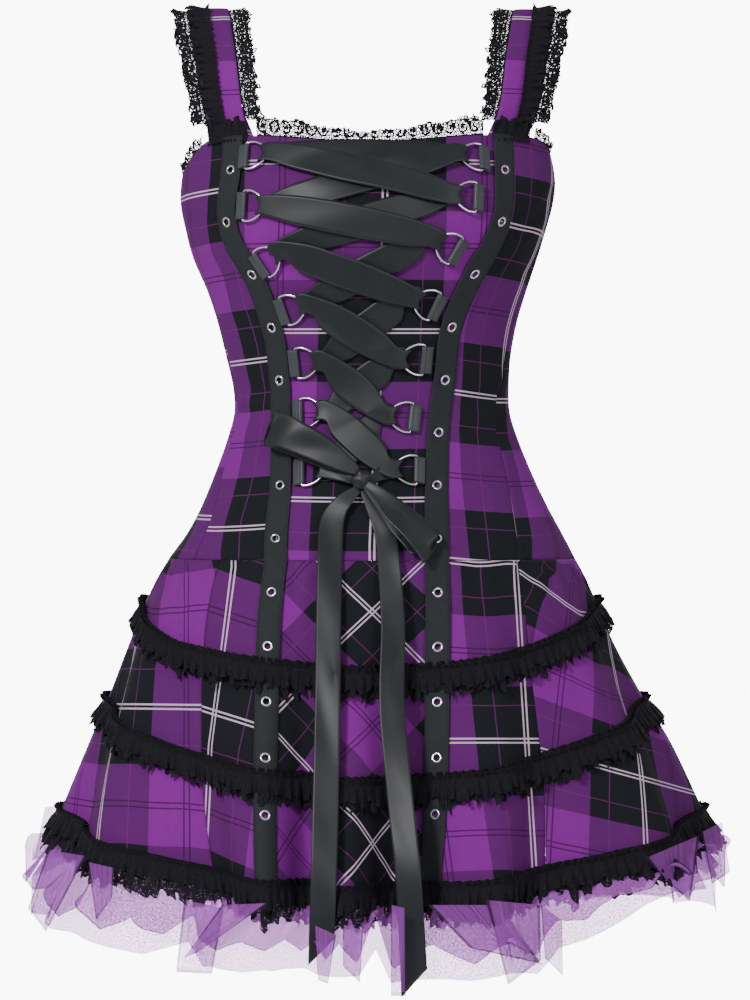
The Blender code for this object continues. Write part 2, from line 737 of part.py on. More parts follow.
def ribbon(name, stations, satin):
    """A flat ribbon through stations of three points across it and a facing direction."""
    outer = [[p + facing * RIBBON / 2 for p in points] for points, facing in stations]
    inner = [[p - facing * RIBBON / 2 for p in points] for points, facing in stations]
    return wall(name, outer, inner, satin)


def front_frame(x, height, off):
    """A point over the front of the bodice or skirt and the outward direction there."""
    if height > WAIST_SEAM:
        angle = angle_at(x, height)
        rise = body_point(angle, height + 2) - body_point(angle, height - 2)
        turn = body_point(angle + 1, height) - body_point(angle - 1, height)
        out = turn.cross(rise).normalized()
        return body_point(angle, height) + out * off, out
    share = (WAIST_SEAM - height) / (WAIST_SEAM - HEM_FRONT)
    depth = smooth(SKIRT, min(share, 1.0), 3)
    wide = smooth(SKIRT, min(share, 1.0), 2)
    y = -depth * math.sqrt(1 - (x / wide) ** 2) - off
    return Vector((x, y, height)), Vector((0, -1, 0))


def free_ribbon(name, route, satin):
    """A ribbon over the front; a route row is x, height, off the dress, half width."""
    spots = [front_frame(x, height, off) for x, height, off, _ in route]
    stations = []
    for k, (spot, out) in enumerate(spots):
        before, after = spots[max(k - 1, 0)][0], spots[min(k + 1, len(spots) - 1)][0]
        path = (after - before).normalized()
        across = path.cross(out).normalized()
        facing = across.cross(path).normalized()
        half = route[k][3]
        stations.append(([spot - across * half, spot, spot + across * half], facing))
    return ribbon(name, stations, satin)


def arm(frame, layer, toward):
    """Stations where the ribbon turns through a ring, from one layer to the other."""
    spread = (TURN_HALF, 0, -TURN_HALF)
    other = OVER if layer == UNDER else UNDER
    up = 1 if layer == UNDER else -1
    rows = [(0.0, layer, frame[3] * up * 0.8 + frame[1] * 0.6), (-0.8, RING_OFF, frame[1]),
            (0.0, other, frame[3] * -up * 0.8 + frame[1] * 0.6)]
    stations = []
    for shift, off, facing in rows:
        points = [local(frame, u + shift, v, off) for u, v in zip(TURN_U, spread)]
        stations.append((points, (facing * toward).normalized()))
    return stations, other


def edge_station(frame, layer, toward, half=RIBBON_HALF - 1.5):
    up = 1 if layer == UNDER else -1
    points = [local(frame, LEAVE_U, v, layer) for v in (half, 0, -half)]
    return points, frame[3] * up * toward


def strip_between(a, b, heights, facing_sign):
    """Stations between the rings a and b; heights are off the panel at both ends."""
    start, end = local(a, LEAVE_U, 0, 0), local(b, LEAVE_U, 0, 0)
    count = max(2, round((end - start).length / RIBBON_PITCH))
    stations = []
    for k in range(1, count):
        share = k / count
        low = heights[1] + (UNDER_LIFT if heights[1] == UNDER else 0)
        off = max(low, heights[0] + (heights[1] - heights[0]) * 2.5 * share)
        spot = start.lerp(end, share)
        centre, out = front_frame(spot.x, spot.z, off)
        path = (end - start).normalized()
        across = path.cross(out).normalized()
        if across.z < 0:
            across = -across
        stations.append(([centre + across * RIBBON_HALF, centre, centre - across * RIBBON_HALF],
                         out * facing_sign))
    return stations


def build_lacing(frames, satin):
    """One ribbon from the knot up through the rings, across the top and down again."""
    left_run = [("L", 0), ("R", 1), ("L", 2), ("R", 3), ("L", 4), ("R", 5), ("L", 6)]
    right_run = [("R", 0), ("L", 1), ("R", 2), ("L", 3), ("R", 4), ("L", 5), ("R", 6)]

    def run(rings, first_heights):
        stations = []
        layer, toward = UNDER, 1
        for number, key in enumerate(rings):
            frame = frames[key[0]][key[1]]
            turn, layer_out = arm(frame, layer, toward)
            stations += [edge_station(frame, layer, toward)] + turn
            layer = layer_out
            stations.append(edge_station(frame, layer, toward))
            if number == len(rings) - 1:
                break
            target = frames[rings[number + 1][0]][rings[number + 1][1]]
            up = 1 if layer == UNDER else -1
            if number == 0 and first_heights:
                stations += strip_between(frame, target, first_heights, up * toward)
                layer, toward = UNDER, -toward
            else:
                stations += strip_between(frame, target, (layer, layer), up * toward)
        return stations

    left, right = run(left_run, None), run(right_run, (OVER, UNDER))
    bar = strip_between(frames["L"][0], frames["R"][0], (UNDER, UNDER), 1)
    knot, out = front_frame(*KNOT)

    def tail(stations, side):
        points, facing = stations[-1]
        spot = knot + Vector((side * KNOT_SIDE, 0, 0))
        lift = facing if facing.dot(out) > 0 else -facing
        half = Vector((0, 0, 4))
        return [([spot + half, spot, spot - half], out * (1 if lift == facing else -1))]
    left += tail(left, -1)
    right += tail(right, 1)
    ribbon("ribbon_lacing", left[::-1] + bar + right, satin)


def build_knot(satin):
    spot, out = front_frame(*KNOT)
    bpy.ops.mesh.primitive_ico_sphere_add(subdivisions=2, radius=1)
    ball = bpy.context.object
    points = [Vector((v.co.x * KNOT_HALF[0], v.co.y * KNOT_HALF[1], v.co.z * KNOT_HALF[2])) + spot
              for v in ball.data.vertices]
    faces = [list(face.vertices) for face in ball.data.polygons]
    bpy.data.objects.remove(ball, do_unlink=True)
    add("ribbon_knot", points, faces, satin)


BOW = {
    # x, height, off the dress, half width
    "bow_loop_L": [(-13.2, -444.2, 13.6, 3), (-40, -430, 11, 9), (-66, -416, 11, 11), (-83, -409, 13, 10),
                   (-84, -408, 18, 10), (-66, -414, 21, 11), (-40, -428, 19.5, 9), (-11.4, -445.4, 16.4, 3)],
    "bow_loop_R": [(-3.4, -459.4, 11, 3), (17, -482, 10, 9), (36, -502, 10, 11), (49, -516, 12, 11),
                   (49.5, -517, 18, 11), (36, -501, 20, 11), (17, -481, 18, 9), (-4.4, -458.2, 15, 3)],
}
TAILS = {
    "ribbon_tail_L": [(-11.5, -461.1, 9.5, 3), (-24, -472, 8, 8), (-34, -488, 6.5, 11), (-37, -523, 7, 11.5),
                      (-38, -580, 12, 11.5), (-38.5, -650, 17, 11.5), (-39.5, -730, 20, 11.5),
                      (-41, -800, 23, 11.5), (-42, -845, 24, 11), (-48, -868, 24, 3)],
    "ribbon_tail_R": [(-6.4, -460.9, 7.5, 3), (3, -478, 5, 7), (12, -498, 4.5, 9), (16, -523, 6, 10),
                      (20, -580, 12, 10.5), (19, -650, 17, 11), (26, -730, 20, 11), (33, -800, 23, 11.5),
                      (38, -865, 24, 11), (31, -902, 24, 3)],
}


def strap_grid(side, tops):
    """Three lines of points along a strap, from its front foot to its back foot."""
    sign = 1 if side == "R" else -1
    rows = []
    for foot in (STRAP_FOOT, STRAP_BACK_FOOT):
        angles = (foot[0], (foot[0] + foot[1]) / 2, foot[1])
        row = [edge_at(tops, sign * angle) for angle in angles]
        rise = 0.0
        for k in range(2):
            for step in range(1, 8):
                chord = row[k][0].lerp(row[k + 1][0], step / 8)
                angle = angles[k] + (angles[k + 1] - angles[k]) * step / 8
                rise = max(rise, edge_at(tops, sign * angle)[0].z - chord.z)
        row = [(spot + Vector((0, 0, rise + STRAP_LIFT)), away) for spot, away in row]
        rows.append(row)
    middle = []
    for x, y, height, turn in STRAP:
        across = Vector((sign * math.cos(math.radians(turn)), math.sin(math.radians(turn)), 0))
        centre = Vector((sign * x, y, height))
        middle.append([centre - across * STRAP_HALF, centre, centre + across * STRAP_HALF])
    points = [[p for p, _ in rows[0]]] + middle + [[p for p, _ in rows[1]]]
    normals = []
    for k, row in enumerate(points):
        before, after = points[max(k - 1, 0)], points[min(k + 1, len(points) - 1)]
        line = []
        for j in range(3):
            path = after[j] - before[j]
            out = path.cross(row[2] - row[0]).normalized() * sign
            line.append(out)
        normals.append(line)
    normals[0] = [away for _, away in rows[0]]
    normals[-1] = [away for _, away in rows[1]]
    for line, row in zip(normals, points):
        for j in range(3):
            if line[j].dot(row[j] - Vector((sign * ARMHOLE_MIDDLE[0], ARMHOLE_MIDDLE[1], ARMHOLE_MIDDLE[2]))) < 0:
                line[j] = -line[j]
    return points, normals


def edge_at(tops, angle):
    """Point and outward direction on the bodice's built top edge."""
    for (low, first, away), (high, second, _) in zip(tops, tops[1:]):
        if low <= angle <= high:
            return first.lerp(second, (angle - low) / (high - low)), away
    return tops[-1][1], tops[-1][2]


def build_strap(side, tops, plaid, lace):
    points, normals = strap_grid(side, tops)
    inner = [[p - n * CLOTH for p, n in zip(*rows)] for rows in zip(points, normals)]
    wall("strap_" + side, points, inner, plaid)
    for name, edge, reach in (("inner", 0, STRAP_LACE_IN), ("outer", 2, STRAP_LACE_OUT)):
        outer_rows, inner_rows = [[], []], [[], []]
        count = 19
        for k in range(count):
            place = STRAP_LACE_START + (len(points) - 1 - 2 * STRAP_LACE_START) * k / (count - 1)
            low = int(place)
            share = place - low
            start = points[low][edge].lerp(points[low + 1][edge], share)
            normal = normals[low][edge].lerp(normals[low + 1][edge], share).normalized()
            across = (points[low][edge] - points[low][1]).lerp(points[low + 1][edge] - points[low + 1][1],
                                                               share).normalized()
            wave = STRAP_WAVE * (1 if k % 2 else -1)
            near = start + across * STRAP_LACE_OFF - normal * GAP
            far = near + across * reach + normal * wave
            outer_rows[0].append(near)
            outer_rows[1].append(far)
            inner_rows[0].append(near - normal * LACE)
            inner_rows[1].append(far - normal * LACE)
        holes = {(0, k) for k in range(0, count - 1, 2)}
        wall(f"strap_lace_{name}_{side}", outer_rows, inner_rows, lace, holes=holes, hole=(.3, .7, .3, .75))
    over_outer, over_inner = [[], [], []], [[], [], []]
    stations = [(len(points) - 1) * k / 18 for k in range(1, 18)]
    for k, place in enumerate(stations):
        low = min(int(place), len(points) - 2)
        share = place - low
        centre = points[low][1].lerp(points[low + 1][1], share)
        edge = points[low][2].lerp(points[low + 1][2], share)
        normal = normals[low][1].lerp(normals[low + 1][1], share).normalized()
        for row, part in enumerate((0.12, 0.55, 0.97)):
            lift = 1.4 if row == 1 else (2.6 if k % 2 else 1.3)
            spot = centre.lerp(edge, part) + normal * lift
            over_inner[row].append(spot)
            over_outer[row].append(spot + normal * LACE)
    wall("strap_lace_over_" + side, over_outer, over_inner, lace)


def edge_lace(name, tops, first, last, count, rise, lace, holes=True):
    """Gathered lace that stands up from the bodice's top edge between two angles."""
    outer, inner = [[], []], [[], []]
    for k in range(count):
        angle = first + (last - first) * k / (count - 1)
        turned = (angle + 180) % 360 - 180
        wave = EDGE_WAVE * (1 if k % 2 else -1)
        edge, away = edge_at(tops, turned)
        low = edge + Vector((0, 0, EDGE_LACE_OFF)) - away * GAP
        high = low + Vector((0, 0, rise(turned))) + away * wave
        outer[0].append(high)
        outer[1].append(low)
        inner[0].append(high - away * LACE)
        inner[1].append(low - away * LACE)
    chosen = {(0, k) for k in range(0, count - 1, 2)} if holes else ()
    wall(name, outer, inner, lace, holes=chosen, hole=(.3, .7, .25, .7))


def build():
    for thing in list(bpy.data.objects):
        bpy.data.objects.remove(thing, do_unlink=True)
    plaid = paint("plaid cloth", (0.21, 0.05, 0.27), 0.85)
    black = paint("black cotton", (0.03, 0.035, 0.04), 0.8)
    lace = paint("black lace", (0.02, 0.02, 0.025), 0.9)
    net = paint("lilac tulle", (0.62, 0.38, 0.68), 0.8)
    satin = paint("slate satin", (0.06, 0.07, 0.075), 0.35)
    metal = paint("nickel", (0.75, 0.75, 0.77), 0.2, 1.0)
    bodice = build_bodice(plaid)
    places, skirt = build_skirt(plaid)
    build_skirt_lace(places, skirt, lace)
    build_tulle(places, skirt, net)
    tops = sorted(((math.degrees(math.atan2(line[0][0].x, -line[0][0].y)), line[0][0], line[0][1])
                   for lines in bodice.values() for line in lines), key=lambda item: item[0])
    frames = {}
    for side in ("L", "R"):
        lines = sewn_lines(bodice, places, skirt, side)
        build_band(side, lines, black)
        frames[side] = [ring_frame(side, k, lines) for k in range(len(RINGS[side]))]
        for k, frame in enumerate(frames[side]):
            build_ring(f"d_ring_{side}{k + 1}", frame, metal)
        build_tape(side, lines, frames[side], satin)
        build_strap(side, tops, plaid, lace)
    build_lacing(frames, satin)
    build_knot(satin)
    for name, route in {**BOW, **TAILS}.items():
        free_ribbon(name, route, satin)
    edge_lace("neck_lace_front", tops, -57, 57, 19, lambda angle: smooth(NECK_LACE, angle, 1), lace)
    edge_lace("neck_lace_back", tops, 124.5, 235.5, 19, lambda angle: 10.0, lace)
    edge_lace("armhole_lace_L", tops, -103.5, -77, 13, lambda angle: 11.0, lace, False)
    edge_lace("armhole_lace_R", tops, 77, 103.5, 13, lambda angle: 11.0, lace, False)


build()
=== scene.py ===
import bpy
import math
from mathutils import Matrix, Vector


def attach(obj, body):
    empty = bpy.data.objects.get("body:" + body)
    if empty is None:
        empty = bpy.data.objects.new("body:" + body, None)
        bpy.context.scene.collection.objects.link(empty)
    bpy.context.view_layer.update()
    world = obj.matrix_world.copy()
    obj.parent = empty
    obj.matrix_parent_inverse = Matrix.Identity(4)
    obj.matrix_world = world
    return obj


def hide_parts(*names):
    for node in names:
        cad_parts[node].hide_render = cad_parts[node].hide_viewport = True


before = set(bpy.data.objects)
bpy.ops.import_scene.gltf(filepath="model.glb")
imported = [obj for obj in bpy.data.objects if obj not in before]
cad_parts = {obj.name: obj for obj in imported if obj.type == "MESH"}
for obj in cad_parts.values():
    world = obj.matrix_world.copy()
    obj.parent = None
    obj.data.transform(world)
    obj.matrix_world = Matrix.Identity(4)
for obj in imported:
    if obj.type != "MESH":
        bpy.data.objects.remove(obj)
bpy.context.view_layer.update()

# Plaid lace-up mini dress, hollow, as worn. Sizes are in millimetres, as in the part's source:
# +Z up, the front towards -Y, the origin between the tops of the straps, angles in degrees
# round the body from the front centre to the viewer's right.
MM = 0.001
WAIST = -523.0
BODY = [
    # height, left half width, right half width, front depth, back depth
    (-100, 167, 164, 82, 90), (-130, 172, 168, 88, 93), (-163, 179, 174, 104, 100),
    (-186, 180, 172, 114, 103), (-212, 175, 165, 117, 102), (-238, 168, 157, 114, 98),
    (-268, 155, 147, 107, 92), (-298, 145, 138, 99, 86), (-330, 137, 132, 94, 80),
    (-361, 130, 130, 91, 77), (-384, 129, 131, 93, 79), (-408, 135, 138, 98, 86),
    (-447, 149, 154, 110, 100), (-476, 161, 168, 122, 114), (-500, 174, 181, 133, 126),
    (-523, 191, 193, 146, 140),
]
TOP_EDGE = [
    # angle, height
    (-180, -128), (-150, -124), (-129, -118), (-112, -140), (-90, -163), (-73, -144),
    (-62, -131), (-40, -129), (0, -137), (40, -128), (62, -127), (75, -132),
    (90, -141), (112, -133), (129, -118), (150, -124), (180, -128),
]
SEAMS = [
    # height, left band x, right band x, left side angle, right side angle
    (-100, -127, 122, -88, 84), (-161, -129, 123, -88, 84), (-204, -133, 121, -87, 84),
    (-232, -125, 110, -86, 82), (-258, -109, 95, -85, 79), (-307, -91, 74, -83, 75),
    (-354, -84, 68, -79, 70), (-401, -82.5, 62, -75, 60), (-452, -82.5, 60, -70, 55),
    (-502, -86, 59.5, -63, 48), (-523, -85.7, 59.2, -60, 44),
]
SKIRT = [
    # share, left half width, right half width, front depth, back depth
    (0.00, 191, 193, 146, 140), (0.17, 213, 213, 165, 160), (0.33, 228, 229, 182, 178),
    (0.53, 246, 255, 203, 200), (0.71, 264, 281, 222, 222), (1.00, 292, 313, 247, 250),
]
FLUTES = [
    # angle at the waist, angle at the hem, how far it stands out at the hem
    (-180, -180, 10), (-166, -166, -16), (-150, -150, 14), (-135, -135, -18), (-120, -120, 12),
    (-106, -106, -12), (-93, -90, 5), (-82, -71, -6), (-71, -50, 16), (-60, -29.5, -14),
    (-27.5, -18, 12), (-19, -11.5, -32), (-4, -4.5, 9), (10.5, 4, -38), (28, 18, 14),
    (44, 31, -14), (60, 51, 16), (76, 72, -6), (91, 90, 5), (106, 106, -12), (120, 120, 12),
    (135, 135, -18), (150, 150, 14), (166, 166, -16), (180, 180, 10),
]
LEFT_BAND, RIGHT_BAND = 10.1, 13.42
HEM_FRONT, HEM_SIDE, HEM_BACK = -820.0, -770.0, -808.0
ROW_1, ROW_2 = (198, 206), (101, 114)

# Creases of the bodice: from angle and height to angle and height, width, depth
CREASES = [
    (-84, -176, -60, -226, 8, -1.6), (-80, -196, -56, -238, 7, 1.1), (-78, -236, -57, -262, 8, -1.3),
    (-80, -352, -50, -366, 7, -1.5), (-82, -374, -46, -378, 6, 1.2), (-80, -392, -48, -390, 7, -1.6),
    (-76, -412, -50, -404, 7, 1.0), (-70, -452, -56, -520, 9, -1.6), (-50, -470, -47, -521, 8, 1.4),
    (-40, -486, -38, -522, 6, -1.1), (82, -172, 56, -220, 8, -1.5), (78, -204, 52, -240, 7, 1.2),
    (80, -246, 52, -268, 8, -1.2), (82, -350, 44, -362, 7, 1.1), (84, -366, 42, -377, 6, -1.7),
    (80, -388, 40, -392, 7, 1.2), (74, -410, 38, -402, 7, -1.2), (60, -446, 48, -521, 9, -1.7),
    (44, -462, 37, -521, 8, 1.4), (33, -480, 31, -522, 6, -1.0), (-20, -486, -14, -521, 7, 0.7),
    (12, -490, 10, -521, 7, -0.7), (-112, -180, -136, -236, 9, -1.5), (116, -186, 140, -240, 9, -1.4),
    (-110, -352, -160, -366, 8, -1.6), (-112, -382, -168, -386, 7, 1.3), (112, -356, 158, -368, 8, 1.2),
    (110, -380, 166, -390, 7, -1.6), (-128, -446, -140, -520, 10, -1.6), (-154, -460, -158, -521, 9, 1.5),
    (130, -452, 142, -520, 10, 1.5), (156, -462, 162, -521, 9, -1.6), (98, -400, 96, -516, 10, -1.4),
    (-98, -404, -94, -516, 10, 1.3),
]
# Smaller folds of the skirt: place along the flutes, width, depth at the hem, share where it starts
FOLDS = [
    (0.5, .2, 4, .1), (1.6, .18, -4, .05), (2.4, .16, 3, .2), (3.5, .2, -4, .0), (4.6, .2, 4, .1),
    (5.5, .2, -3, .15), (6.6, .22, 3.5, .05), (7.25, .16, -3.5, .1), (7.8, .14, 3, .3),
    (8.35, .16, -4, .05), (8.75, .13, 3.5, .2), (9.3, .16, -3.5, .0), (9.62, .12, 2.5, .15),
    (11.3, .16, 3, .1), (12.3, .14, -3, .25), (12.75, .14, 3, .1), (13.9, .15, -3, .0),
    (14.3, .14, 3.5, .15), (14.7, .16, -4, .05), (15.3, .15, 3.5, .2), (15.7, .16, -4, .0),
    (16.25, .14, 3.5, .1), (16.7, .16, -3.5, .2), (17.4, .2, 3.5, .05), (18.5, .2, -3.5, .1),
    (19.5, .2, 4, .1), (20.6, .18, -4, .05), (21.4, .2, 4, .15), (22.5, .2, -4, .1), (23.4, .2, 3.5, .1),
]
# Small puckers where the skirt is sewn to the bodice
PUCKER_COUNT, PUCKER = 46, 1.1

RINGS = {
    "L": [(-104.6, -149.5), (-106.4, -196.4), (-91.7, -244.2), (-69.7, -289.2),
          (-57.8, -339.7), (-54.1, -387.5), (-52.2, -441.7)],
    "R": [(91.5, -151.4), (85.6, -188.6), (68.1, -233.1), (48.8, -284.6),
          (37.8, -337.0), (26.8, -391.1), (31.4, -440.8)],
}
RING_WIRE, RING_HIGH, RING_WIDE, RING_OFF = 1.15, 14.75, 10.25, 4.8
UNDER, OVER, UNDER_LIFT = 2.0, 6.9, 0.9
RIBBON_HALF = 11.5
LEAVE_U, TURN_HALF, TURN_U = 15.5, 8.0, (3.4, 7.6, 3.4)
KNOT, KNOT_HALF = (-8.0, -453.0, 11.0), (8.0, 6.0, 9.0)
EYELET_TOP, EYELET_PITCH, EYELET_COUNT = -161.0, 48.8, 13
BAND_HALF = 11.0

# Lower edge of the photo's frill, as picture x and y
FRILL = [
    (12, 893), (21, 905), (45, 932), (80, 938), (112, 950), (140, 958), (180, 947), (194, 972), (208, 972),
    (240, 976), (281, 975), (325, 981), (359, 981), (376, 956), (392, 990), (426, 986), (470, 984),
    (510, 978), (543, 979), (564, 953), (594, 944), (637, 919), (673, 894), (690, 901), (729, 871),
    (740, 862),
]


def smooth(rows, at, column):
    """Read a column of a table at a place in its first column, along a smooth curve."""
    last = len(rows) - 1
    at = min(max(at, min(rows[0][0], rows[last][0])), max(rows[0][0], rows[last][0]))
    down = rows[last][0] < rows[0][0]
    k = 0
    while k < last - 1 and (rows[k + 1][0] > at if down else rows[k + 1][0] < at):
        k += 1

    def slope(i):
        low, high = rows[max(i - 1, 0)], rows[min(i + 1, last)]
        return (high[column] - low[column]) / (high[0] - low[0])
    span = rows[k + 1][0] - rows[k][0]
    t = (at - rows[k][0]) / span
    return ((2 * t ** 3 - 3 * t ** 2 + 1) * rows[k][column] + (t ** 3 - 2 * t ** 2 + t) * span * slope(k)
            + (3 * t ** 2 - 2 * t ** 3) * rows[k + 1][column] + (t ** 3 - t ** 2) * span * slope(k + 1))


def straight(rows, at):
    """Read the second column of a table at a place in its first, in straight lines."""
    if at <= rows[0][0]:
        return rows[0][1]
    for low, high in zip(rows, rows[1:]):
        if at <= high[0]:
            return low[1] + (high[1] - low[1]) * (at - low[0]) / (high[0] - low[0])
    return rows[-1][1]


def section(angle, sizes, height, out):
    left, right, front, back = sizes
    turn = math.radians(angle)
    wide = right if math.sin(turn) > 0 else left
    deep = front if math.cos(turn) > 0 else back
    away = Vector((deep * math.sin(turn), -wide * math.cos(turn), 0)).normalized()
    return Vector((wide * math.sin(turn), -deep * math.cos(turn), height)) + away * out, away


sizes_kept = {}


def body_sizes(height):
    key = round(height, 2)
    if key not in sizes_kept:
        sizes_kept[key] = [smooth(BODY, height, column) for column in (1, 2, 3, 4)]
    return sizes_kept[key]


def body_point(angle, height, out=0.0):
    return section(angle, body_sizes(height), height, out)[0]


def angle_at(x, height):
    left, right, _, _ = body_sizes(height)
    return math.degrees(math.asin(x / (right if x > 0 else left)))


def seam_angle(name, height):
    if name == "band_L":
        return angle_at(smooth(SEAMS, height, 1), height)
    if name == "band_R":
        return angle_at(smooth(SEAMS, height, 2), height)
    if name == "side_L":
        return smooth(SEAMS, height, 3)
    if name == "side_R":
        return smooth(SEAMS, height, 4)
    return {"back_L": -106.0, "back_R": 106.0, "rear_L": -180.0, "rear_R": 180.0}[name]


def crease(angle, height):
    """How far the bodice's creases move a point outward."""
    total = 0.0
    for a0, z0, a1, z1, width, depth in CREASES:
        ax, bx = a0 * 2.3, a1 * 2.3
        x = angle * 2.3
        dx, dz = bx - ax, z1 - z0
        t = ((x - ax) * dx + (height - z0) * dz) / (dx * dx + dz * dz)
        if -0.3 < t < 1.3:
            c = min(max(t, 0), 1)
            far = (x - ax - dx * c) ** 2 + (height - z0 - dz * c) ** 2
            if far < 9 * width * width:
                fade = math.sin(math.pi * min(max((t + .3) / 1.6, 0), 1))
                total += depth * math.exp(-far / width ** 2) * fade
    return total


def bodice(angle, height, out=0.0):
    return body_point(angle, height, out + crease(angle, height))


def hem_height(angle):
    end = HEM_FRONT if math.cos(math.radians(angle)) > 0 else HEM_BACK
    return HEM_SIDE + (end - HEM_SIDE) * math.cos(math.radians(angle)) ** 2


def blend(pair, angle):
    return pair[1] + (pair[0] - pair[1]) * math.cos(math.radians(angle)) ** 2


def flute(place):
    k = min(max(int(place), 0), len(FLUTES) - 2)
    share = place - k
    low, high = FLUTES[k], FLUTES[k + 1]
    ease = (1 - math.cos(math.pi * share)) / 2
    return (low[0] + (high[0] - low[0]) * share, low[1] + (high[1] - low[1]) * share,
            low[2] + (high[2] - low[2]) * ease)


def fold(place, share):
    total = 0.0
    for centre, width, depth, start in FOLDS:
        far = abs(place - centre)
        if far < 3 * width and share > start:
            total += depth * (share - start) * math.exp(-(far / width) ** 2)
    if share < 0.14:
        total += PUCKER * math.sin(place * PUCKER_COUNT / 4) * math.sin(math.pi * share / 0.14)
    return total


def skirt(place, share, out=0.0):
    """A point on the skirt, from the waist seam (share 0) to the hem (1), moved straight out."""
    waist, hem, crest = flute(place)
    angle = waist + (hem - waist) * share
    height = WAIST + (hem_height(angle) - WAIST) * share
    sizes = [smooth(SKIRT, min(share, 1.0), column) for column in (1, 2, 3, 4)]
    return section(angle, sizes, height, crest * max(share, 0) ** 1.2 + fold(place, share) + out)[0]


def skirt_away(place, share):
    waist, hem, _ = flute(place)
    sizes = [smooth(SKIRT, min(share, 1.0), column) for column in (1, 2, 3, 4)]
    return section(waist + (hem - waist) * share, sizes, 0, 0)[1]


def hem_share(place, above):
    """The share that lies a distance above the hem."""
    full = WAIST - hem_height(flute(place)[1])
    return 1 - above / full


def pixel(p):
    scale = 3200 / (3200 + p.y) / 0.95
    return 375 + (p.x - 3.8) * scale, 500 - (p.z + 467.4) * scale


def catmull(points, steps, closed=False):
    """A smooth line through points; each may be a Vector or a tuple of numbers."""
    points = [Vector(p) for p in points]
    count = len(points)
    out = []
    for k in range(count if closed else count - 1):
        def at(i):
            return points[i % count] if closed else points[min(max(i, 0), count - 1)]
        a, b, c, d = at(k - 1), at(k), at(k + 1), at(k + 2)
        for s in range(steps):
            t = s / steps
            out.append(0.5 * ((2 * b) + (c - a) * t + (2 * a - 5 * b + 4 * c - d) * t * t
                              + (3 * b - a - 3 * c + d) * t ** 3))
    if not closed:
        out.append(points[-1])
    return out


# Materials
class Shader:
    """A node material with short ways to add maths."""

    def __init__(self, name):
        self.material = bpy.data.materials.new(name)
        self.material.use_nodes = True
        self.tree = self.material.node_tree
        self.main = self.tree.nodes["Principled BSDF"]
        self.output = self.tree.nodes["Material Output"]

    def node(self, kind, **settings):
        made = self.tree.nodes.new(kind)
        for key, value in settings.items():
            setattr(made, key, value)
        return made

    def plug(self, value, socket):
        if isinstance(value, bpy.types.NodeSocket):
            self.tree.links.new(value, socket)
        else:
            socket.default_value = value

    def math(self, operation, *values):
        made = self.node("ShaderNodeMath", operation=operation)
        for value, socket in zip(values, made.inputs):
            self.plug(value, socket)
        return made.outputs[0]

    def mix(self, share, low, high):
        made = self.node("ShaderNodeMix", data_type="RGBA")
        for value, socket in ((share, made.inputs[0]), (low, made.inputs[6]), (high, made.inputs[7])):
            self.plug(value, socket)
        return made.outputs[2]

    def uv(self, name):
        parts = self.node("ShaderNodeSeparateXYZ")
        self.tree.links.new(self.node("ShaderNodeUVMap", uv_map=name).outputs[0], parts.inputs[0])
        return parts.outputs[0], parts.outputs[1]

    def vector(self, x, y):
        made = self.node("ShaderNodeCombineXYZ")
        self.plug(x, made.inputs[0])
        self.plug(y, made.inputs[1])
        return made.outputs[0]

    def noise(self, vector, scale, detail=2.0):
        made = self.node("ShaderNodeTexNoise")
        self.plug(vector, made.inputs["Vector"])
        made.inputs["Scale"].default_value = scale
        made.inputs["Detail"].default_value = detail
        return made.outputs["Fac"]

    def set(self, **values):
        for key, value in values.items():
            self.plug(value, self.main.inputs[key.replace("_", " ")])

    def bump(self, height, strength, distance):
        made = self.node("ShaderNodeBump")
        made.inputs["Strength"].default_value = strength
        made.inputs["Distance"].default_value = distance
        self.plug(height, made.inputs["Height"])
        self.tree.links.new(made.outputs[0], self.main.inputs["Normal"])

    def see_through(self, cover, tint=(1, 1, 1, 1)):
        clear = self.node("ShaderNodeBsdfTransparent")
        clear.inputs["Color"].default_value = tint
        mixed = self.node("ShaderNodeMixShader")
        self.plug(cover, mixed.inputs[0])
        self.tree.links.new(clear.outputs[0], mixed.inputs[1])
        self.tree.links.new(self.main.outputs[0], mixed.inputs[2])
        self.tree.links.new(mixed.outputs[0], self.output.inputs[0])


PURPLE = (0.248, 0.018, 0.312, 1)
SLATE = (0.0140, 0.0160, 0.0205, 1)
WHITE = (0.80, 0.62, 0.80, 1)
MAGENTA = (0.23, 0.022, 0.20, 1)
DARK = (0.045, 0.007, 0.055, 1)
RIB_PITCH = 0.7
TULLE_TINT = (0.88, 0.68, 0.93, 1)


